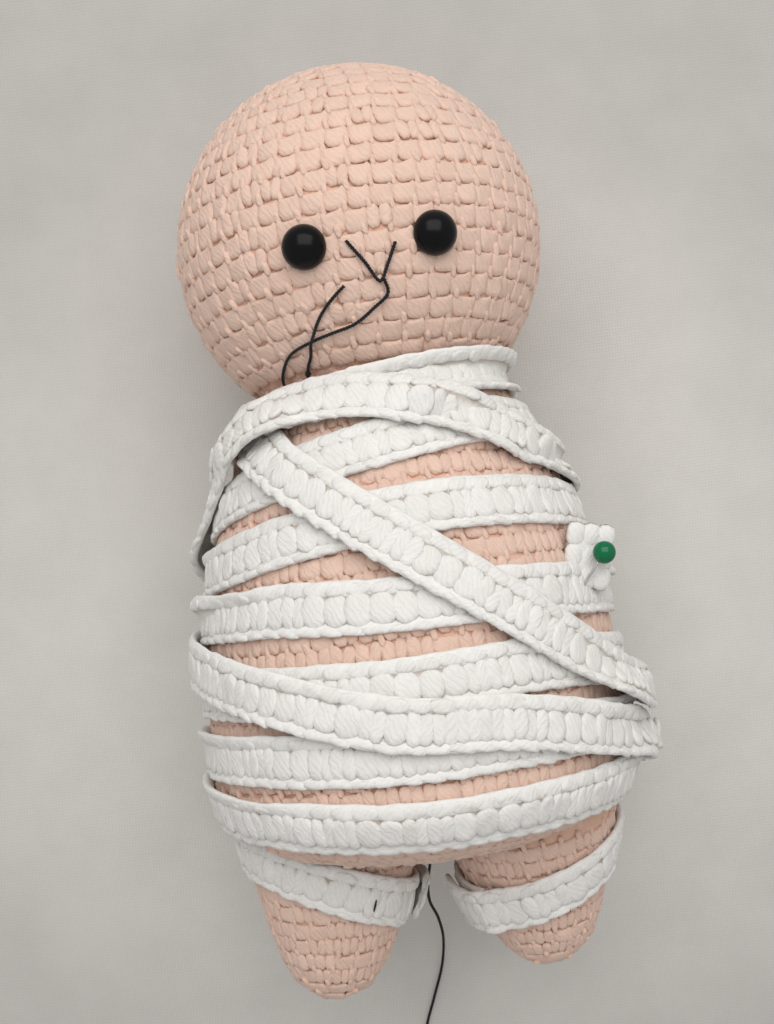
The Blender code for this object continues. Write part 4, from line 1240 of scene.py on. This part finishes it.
def on_head(longitude, latitude, radius):
    """Point at a distance from the head's centre, in the doll frame."""
    lon, lat = math.radians(longitude), math.radians(latitude)
    return (
        radius * math.cos(lat) * math.sin(lon), HEAD_CENTRE_Y + radius * math.sin(lat),
        radius * math.cos(lat) * math.cos(lon),
    )


def replace_nodes(item, body, slot, *nodes):
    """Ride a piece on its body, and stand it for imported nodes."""
    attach(item, body)
    if nodes:
        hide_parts(*nodes)
    return item


# Operators


class DOLL_OT_stage(bpy.types.Operator):
    """Set the camera, the pale cloth and the soft light"""

    bl_idname = "doll.stage"
    bl_label = "Stage"

    def execute(self, context):
        scene = context.scene
        _, colours, stage = settings()
        lens = bpy.data.cameras.new("photo_camera")
        lens.lens = 50.0
        lens.sensor_width = 36.0
        lens.clip_start = 0.01
        camera = bpy.data.objects.new("photo_camera", lens)
        scene.collection.objects.link(camera)
        turn = Matrix(CAMERA_AXES).transposed().to_4x4()
        camera.matrix_world = Matrix.Translation(CAMERA_PLACE) @ turn
        scene.camera = camera
        scene.view_settings.view_transform = "Standard"

        half = 0.5 * stage.floor_size
        mesh = bpy.data.meshes.new("linen_floor")
        corners = [(-half, -half, 0), (half, -half, 0), (half, half, 0), (-half, half, 0)]
        mesh.from_pydata(corners, [], [(0, 1, 2, 3)])
        floor = add_piece("linen_floor", mesh, linen_finish(colours.linen))

        world = bpy.data.worlds.new("studio")
        world.use_nodes = True
        sky = world.node_tree.nodes["Background"]
        sky.inputs["Color"].default_value = (1.0, 0.99, 0.975, 1.0)
        sky.inputs["Strength"].default_value = stage.sky_level
        scene.world = world
        lamp = bpy.data.lights.new("window_lamp", "AREA")
        lamp.shape = "RECTANGLE"
        lamp.size, lamp.size_y = LAMP_SIDES
        lamp.energy = stage.key_power
        lamp.color = (1.0, 0.985, 0.96)
        key = bpy.data.objects.new("window_lamp", lamp)
        scene.collection.objects.link(key)
        aim = (LAMP_AIM - LAMP_PLACE).to_track_quat("-Z", "Y").to_matrix().to_4x4()
        key.matrix_world = Matrix.Translation(LAMP_PLACE) @ aim
        return {"FINISHED"}


class DOLL_OT_threads(bpy.types.Operator):
    """Lay the loose thread, the nose stitch and its two tails"""

    bl_idname = "doll.threads"
    bl_label = "Threads"

    def execute(self, context):
        black = finish_named("black_thread")
        line = []
        for across, along, over in smooth_route(LOOSE_THREAD_ROUTE, 60) * 0.001:
            depth = (over - ORIGIN.z + along * math.sin(TILT)) / math.cos(TILT)
            line.append((across, along, depth))
        line = placed(np.array(line), DOLL)
        parts, path, length = twisted(line, THREAD_RADIUS, THREAD_TURN)
        loose = add_piece("loose_thread_twist", mesh_of("loose_thread_twist", parts), black)
        replace_nodes(loose, "torso", "black_thread", "loose_thread")
        tails = [
            ("nose_stitch", NOSE_ROUTE, 0.0),
            ("long_thread_tail", [LONG_TAIL_START, *LONG_TAIL_ROUTE], 0.0),
            ("short_thread_tail", SHORT_TAIL_ROUTE, 0.8),
        ]
        for node, route, knot in tails:
            radius = HEAD_RADIUS + FIT + 0.0007
            line = [on_head(lon, lat, radius + lift * 0.001) for lon, lat, lift in smooth_route(route, 80)]
            parts, _, _ = twisted(
                placed(np.array(line), DOLL), 0.00036, THREAD_TURN,
                lambda share: 1.0 + knot * np.exp(-((share - 0.965) / 0.02) ** 2),
            )
            tail = add_piece(node + "_twist", mesh_of(node + "_twist", parts), black)
            replace_nodes(tail, "head", "black_thread", node)
        return {"FINISHED"}


class DOLL_OT_stuffing(bpy.types.Operator):
    """Fill the head, body and legs with fibre wadding"""

    bl_idname = "doll.stuffing"
    bl_label = "Stuffing"

    def execute(self, context):
        filling = finish_named("fibre_filling")
        sockets = [leg_place(side).inverted() for side in LEG_SIDE]
        homes = {"head": "head", "body": "torso", "left_leg": "left_leg", "right_leg": "right_leg"}
        for part, body in homes.items():
            mesh = node_copy(part + "_stuffing")
            form = bmesh.new()
            form.from_mesh(mesh)
            bmesh.ops.subdivide_edges(form, edges=form.edges, cuts=1, use_grid_fill=True)
            form.normal_update()
            for vert in form.verts:
                depth = 0.5 + 0.5 * noise.noise(vert.co * 160.0)
                vert.co -= vert.normal * (0.0005 * depth)
            form.to_mesh(mesh)
            form.free()
            points = np.array([tuple(vert.co) for vert in mesh.vertices])
            lined = np.zeros(len(points))
            for socket in sockets if part == "body" else []:
                local = placed(points, socket)
                around = np.hypot(local[:, 0], local[:, 1])
                beside = around - leg_radius_at(-local[:, 2])
                gap = np.where(local[:, 2] < 0.0, beside, np.hypot(around, local[:, 2]) - LEG_RADIUS)
                lined[gap < LINING_DEPTH] = 1.0
            mark_points(mesh, "lining", lined)
            item = add_piece(part + "_wadding", mesh, filling)
            replace_nodes(item, body, "stuffing", part + "_stuffing")
        return {"FINISHED"}


def crochet(part, body, marks, shapes, seed):
    """Set a part's stitches over its packed skin."""
    # The skin under the stitches is marked -1, so that it takes the yarn's darker colour as painted shade in
    # the gaps between stitches.
    skin = node_copy(part + "_skin", SKIN_INSET, -1.0)
    item = set_stitches(part + "_crochet", marks, shapes, finish_named("peach_yarn"), seed, skin)
    replace_nodes(item, body, "peach_yarn", part + "_skin")


def whole(points):
    """Keep every stitch."""
    return np.ones(len(points), bool)


def turned_to(aim):
    """A turn that takes the Z axis to a direction."""
    return aim.to_track_quat("Z", "Y").to_matrix().to_4x4()


def eye_aims():
    """Directions of the two eyes from the head's centre, in the doll frame."""
    aims = {}
    for side, label in ((-1, "right"), (1, "left")):
        point = Vector(on_head(FACE_LONGITUDE + side * EYE_SPREAD, EYE_LATITUDE, 1.0))
        aims[label] = (point - Vector((0.0, HEAD_CENTRE_Y, 0.0))).normalized()
    return aims


class DOLL_OT_head(bpy.types.Operator):
    """Crochet the head in rounds from the crown"""

    bl_idname = "doll.head"
    bl_label = "Head"

    def execute(self, context):
        last = math.pi - math.asin(HEAD_OPENING / HEAD_RADIUS)
        turns = np.linspace(0.0, last, 200)
        profile = [(HEAD_RADIUS * math.sin(a), HEAD_RADIUS * math.cos(a)) for a in turns]
        turned = np.array(TURNED.inverted())[:3, :3]
        aims = [turned @ np.array(aim) for aim in eye_aims().values()]

        def keep(points):
            away = [np.linalg.norm(points - HEAD_RADIUS * aim, axis=1) for aim in aims]
            return np.minimum(*away) > EYE_ROOM

        def lift(points):
            return STITCH_LIFT - TUCK_DEPTH * np.clip((HEAD_TUCK - points[:, 2]) / TUCK_RUN, 0.0, 1.0)

        shapes = shape_set("head_shapes", round_shapes())
        crochet("head", "head", round_marks(profile, HEAD_PLACE, lift, keep, 0.12, 31), shapes, 1)
        drop_shapes(shapes)
        return {"FINISHED"}


class DOLL_OT_body(bpy.types.Operator):
    """Crochet the body in rounds from the neck"""

    bl_idname = "doll.body"
    bl_label = "Body"

    def execute(self, context):
        heights = np.linspace(BODY_TOP_Y, HIP_Y, 120)[:-1]
        profile = [(float(body_radius_at(y)), y) for y in heights]
        for angle in np.linspace(0.0, 0.5 * math.pi, 80):
            fall = math.sin(angle) ** (2.0 / SEAT_POWER)
            across = max(math.cos(angle), 0.0) ** (2.0 / SEAT_POWER)
            profile.append((HIP_RADIUS * across, HIP_Y - (HIP_Y - BODY_END_Y) * fall))

        bands = []
        for side, strip in LEG_STRIPS.items():
            u = strip.at_length(np.arange(0.001, strip.length - 0.001, 0.001))
            for across in np.linspace(-0.0045, 0.0045, 7):
                bands.append(placed(strip.frame(u, across + 0.0 * u)[0], leg_place(side)))
        bands = np.concatenate(bands)

        def keep(points):
            kept = np.linalg.norm(points - (0.0, 0.0, HEAD_CENTRE_Y), axis=1) > HEAD_RADIUS + SEAM_ROOM
            world = placed(points, BODY_PLACE)
            kept &= np.array([np.linalg.norm(bands - point, axis=1).min() for point in world]) > BAND_ROOM
            for side in LEG_SIDE:
                local = placed(world, leg_place(side).inverted())
                around = np.hypot(local[:, 0], local[:, 1])
                room = np.where(local[:, 2] < 0.0, SOCKET_ROOM, SEAM_ROOM)
                kept &= around > leg_radius_at(-local[:, 2]) + room
            return kept

        def lift(points):
            return STITCH_LIFT + 0.0 * points[:, 2]

        shapes = shape_set("body_shapes", round_shapes())
        crochet("body", "torso", round_marks(profile, BODY_PLACE, lift, keep, 0.65, 32), shapes, 2)
        drop_shapes(shapes)
        return {"FINISHED"}


class DOLL_OT_legs(bpy.types.Operator):
    """Crochet the two legs in rounds from the hip"""

    bl_idname = "doll.legs"
    bl_label = "Legs"

    def execute(self, context):
        turns = np.linspace(0.3, 0.5 * math.pi, 60)
        profile = [(LEG_RADIUS * math.sin(a), LEG_RADIUS * math.cos(a)) for a in turns]
        shares = 1.0 - (1.0 - np.linspace(0.0, 1.0, 160)[1:]) ** 2
        profile += [(float(leg_radius_at(LEG_LENGTH * share)), -LEG_LENGTH * share) for share in shares]

        def lift(points):
            return STITCH_LIFT - TUCK_DEPTH * np.clip((points[:, 2] - LEG_TUCK) / TUCK_RUN, 0.0, 1.0)

        shapes = shape_set("leg_shapes", round_shapes())
        for number, side in enumerate(LEG_SIDE):
            marks = round_marks(profile, leg_place(side), lift, whole, 0.45, 33, LEG_GRADE)
            crochet(side + "_leg", side + "_leg", marks, shapes, 3 + number)
        drop_shapes(shapes)
        return {"FINISHED"}


def end_tab(material):
    """The strip's squared free end, which the pin holds so that it faces forward."""
    low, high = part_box("pin_head")
    right, up, back = (Vector(axis) for axis in CAMERA_AXES)
    turn = Matrix.Rotation(math.radians(-6.0), 3, back) @ Matrix.Rotation(math.radians(14.0), 3, up)
    right, up, back = turn @ right, turn @ up, turn @ back
    centre = 0.5 * (low + high) - back * 0.0037
    centre += Vector(CAMERA_AXES[0]) * -0.0018 - Vector(CAMERA_AXES[1]) * 0.0010
    place = Matrix((right, up, back)).transposed().to_4x4()
    place.translation = centre
    pad = pillow(0.0, 0.0, 4.9, 6.4, 0.0, 0.9, -1.5, 16, 5.0)
    cells = [pad]
    for row in range(3):
        for column in range(3):
            lean = 7.0 * math.sin(3.1 * row + 2.3 * column)
            cells.append(pillow(
                3.2 * (column - 1), 4.2 * (row - 1), 2.05 + 0.1 * math.sin(row), 2.65, lean, 1.15, 0.2, 10,
                grain=1.0 - 2.0 * (column % 2),
            ))
    mesh = mesh_of("bandage_end", cells)
    mesh.transform(place)
    mark_points(mesh, "shade", np.full(len(mesh.vertices), TAB_SHADE))
    return add_piece("bandage_end", mesh, material)


class DOLL_OT_bandage(bpy.types.Operator):
    """Wind the long crochet strip round the body"""

    bl_idname = "doll.bandage"
    bl_label = "Wound strip"

    def execute(self, context):
        white = finish_named("white_yarn")
        cloth = strip_cloth("bandage_ground", TORSO_STRIP, BODY_PLACE, white)
        shapes = shape_set("strip_shapes", strip_shapes())
        count = int(TORSO_STRIP.length / settings()[0].strip_stitch)
        for number, (first, last) in enumerate(((0, count // 2), (count // 2, count))):
            marks = strip_marks(TORSO_STRIP, BODY_PLACE, first, last)
            item = set_stitches(f"bandage_stitches_{number + 1}", marks, shapes, white, 10 + number)
            replace_nodes(item, "torso", "white_yarn")
        drop_shapes(shapes)
        replace_nodes(end_tab(white), "torso", "white_yarn")
        replace_nodes(cloth, "torso", "white_yarn", "bandage")
        return {"FINISHED"}


class DOLL_OT_leg_bands(bpy.types.Operator):
    """Wind a short strip round each leg"""

    bl_idname = "doll.leg_bands"
    bl_label = "Leg bands"

    def catch_thread(self, strip, place):
        """Lay a short bit of black thread in the stitches of the right leg's band."""
        lengths, across = (np.linspace(*ends, 12) for ends in CAUGHT_THREAD)
        point, out, _ = strip.frame(strip.at_length(lengths), across)
        over = 0.0014 + 0.0002 * np.sin(np.linspace(0.0, math.pi, 12))
        parts, _, _ = twisted(placed(point + out * over[:, None], place), 0.00022, 0.0010)
        bit = add_piece("caught_thread", mesh_of("caught_thread", parts), finish_named("black_thread"))
        replace_nodes(bit, "right_leg", "black_thread")

    def execute(self, context):
        white = finish_named("white_yarn")
        shapes = shape_set("band_shapes", strip_shapes())
        for number, side in enumerate(LEG_SIDE):
            strip = LEG_STRIPS[side]
            place = leg_place(side)
            cloth = strip_cloth(side + "_leg_band_ground", strip, place, white)
            item = set_stitches(
                side + "_leg_band_stitches", strip_marks(strip, place, 0, 1000), shapes, white, 20 + number
            )
            replace_nodes(item, side + "_leg", "white_yarn")
            replace_nodes(cloth, side + "_leg", "white_yarn", side + "_leg_bandage")
            if side == "right":
                self.catch_thread(strip, place)
        drop_shapes(shapes)
        return {"FINISHED"}


class DOLL_OT_eyes(bpy.types.Operator):
    """Set the two domed eyes and finish their washers"""

    bl_idname = "doll.eyes"
    bl_label = "Eyes"

    def execute(self, context):
        gloss = finish_named("eye_plastic")
        turns = np.linspace(0.0, 0.5 * math.pi, 25)
        profile = [(EYE_RADIUS * math.sin(a), EYE_RIM + EYE_HEIGHT * math.cos(a)) for a in turns]
        for across, over in ((0.99, 0.5), (0.95, 0.05), (0.90, 0.0)):
            profile.append((EYE_RADIUS * across, over * EYE_RIM))
        profile.append((POST_RADIUS, 0.0))
        pitch = POST_LENGTH / 5.0
        rib = POST_RADIUS + POST_RIB_HEIGHT
        for number in range(POST_RIBS):
            base = -pitch * (number + 1.5)
            profile += [(POST_RADIUS, base), (rib, base - 0.35 * pitch), (POST_RADIUS, base - 0.45 * pitch)]
        profile += [(POST_RADIUS * 0.8, -POST_LENGTH), (0.0, -POST_LENGTH)]
        for side, aim in eye_aims().items():
            seat = Matrix.Translation(aim * (HEAD_RADIUS + FIT)) @ turned_to(aim)
            place = DOLL @ Matrix.Translation((0.0, HEAD_CENTRE_Y, 0.0)) @ seat
            item = turned_piece(side + "_eye_dome", profile, 48, place, gloss)
            replace_nodes(item, "head", "eye_plastic", side + "_eye")
            washer = frame["nodes"][side + "_eye_washer"]
            washer.data.materials.clear()
            washer.data.materials.append(finish_named("washer_plastic"))
        return {"FINISHED"}


class DOLL_OT_pin(bpy.types.Operator):
    """Finish the ball pin that holds the end of the strip"""

    bl_idname = "doll.pin"
    bl_label = "Pin"

    def execute(self, context):
        low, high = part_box("pin_head")
        centre = 0.5 * (low + high)
        out = Vector((math.sin(PIN_ANGLE), 0.0, math.cos(PIN_ANGLE)))
        around = Vector((math.cos(PIN_ANGLE), 0.0, -math.sin(PIN_ANGLE)))
        back = out * math.sin(PIN_LEAN) + (
            Vector((0.0, 1.0, 0.0)) * math.cos(PIN_SIDE) + around * math.sin(-PIN_SIDE)
        ) * math.cos(PIN_LEAN)
        aim = (DOLL.to_3x3() @ back).normalized()
        place = Matrix.Translation(centre) @ turned_to(aim)
        ball, wire = PIN_BALL_RADIUS, PIN_RADIUS
        profile = [(ball * math.sin(a), ball * math.cos(a)) for a in np.linspace(0.0, math.pi, 33)]
        item = turned_piece("pin_glass_ball", profile, 48, place, finish_named("green_glass"))
        replace_nodes(item, "pin", "green_glass", "pin_head")
        start = -0.92 * ball
        taper = start - PIN_LENGTH + PIN_POINT
        profile = [(0.0, start), (0.9 * wire, start), (wire, start - 0.0004), (wire, taper)]
        for share in (0.25, 0.5, 0.75, 0.92):
            profile.append((wire * math.sqrt(1.0 - share), taper - 0.0033 * share))
        profile.append((0.0, start - PIN_LENGTH + 0.0001))
        item = turned_piece("pin_steel_shaft", profile, 16, place, finish_named("bright_steel"))
        replace_nodes(item, "pin", "pin_steel", "pin_shaft")
        return {"FINISHED"}


class DOLL_PT_dress(bpy.types.Panel):
    """Buttons and settings of the doll"""

    bl_idname = "DOLL_PT_dress"
    bl_label = "Crochet doll"
    bl_space_type = "VIEW_3D"
    bl_region_type = "UI"
    bl_category = "Doll"

    def draw(self, context):
        for operator in OPERATORS:
            self.layout.operator(operator.bl_idname)
        for group in settings():
            box = self.layout.box()
            for label in group.bl_rna.properties.keys():
                if label not in ("rna_type", "name"):
                    box.prop(group, label)


GROUPS = {"doll_crochet": CrochetSizes, "doll_finishes": DollFinishes, "doll_stage": StageSizes}
OPERATORS = (
    DOLL_OT_stage, DOLL_OT_threads, DOLL_OT_stuffing, DOLL_OT_head, DOLL_OT_eyes, DOLL_OT_body,
    DOLL_OT_legs, DOLL_OT_bandage, DOLL_OT_leg_bands, DOLL_OT_pin,
)


def register():
    for group in GROUPS.values():
        bpy.utils.register_class(group)
    for label, group in GROUPS.items():
        setattr(bpy.types.Scene, label, bpy.props.PointerProperty(type=group))
    for operator in OPERATORS:
        bpy.utils.register_class(operator)
    bpy.utils.register_class(DOLL_PT_dress)


def unregister():
    bpy.utils.unregister_class(DOLL_PT_dress)
    for operator in reversed(OPERATORS):
        bpy.utils.unregister_class(operator)
    for label in GROUPS:
        delattr(bpy.types.Scene, label)
    for group in reversed(list(GROUPS.values())):
        bpy.utils.unregister_class(group)


def main():
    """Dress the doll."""
    register()
    for operator in OPERATORS:
        group, label = operator.bl_idname.split(".")
        getattr(getattr(bpy.ops, group), label)()
    bpy.context.view_layer.update()


if __name__ == "__main__":
    main()
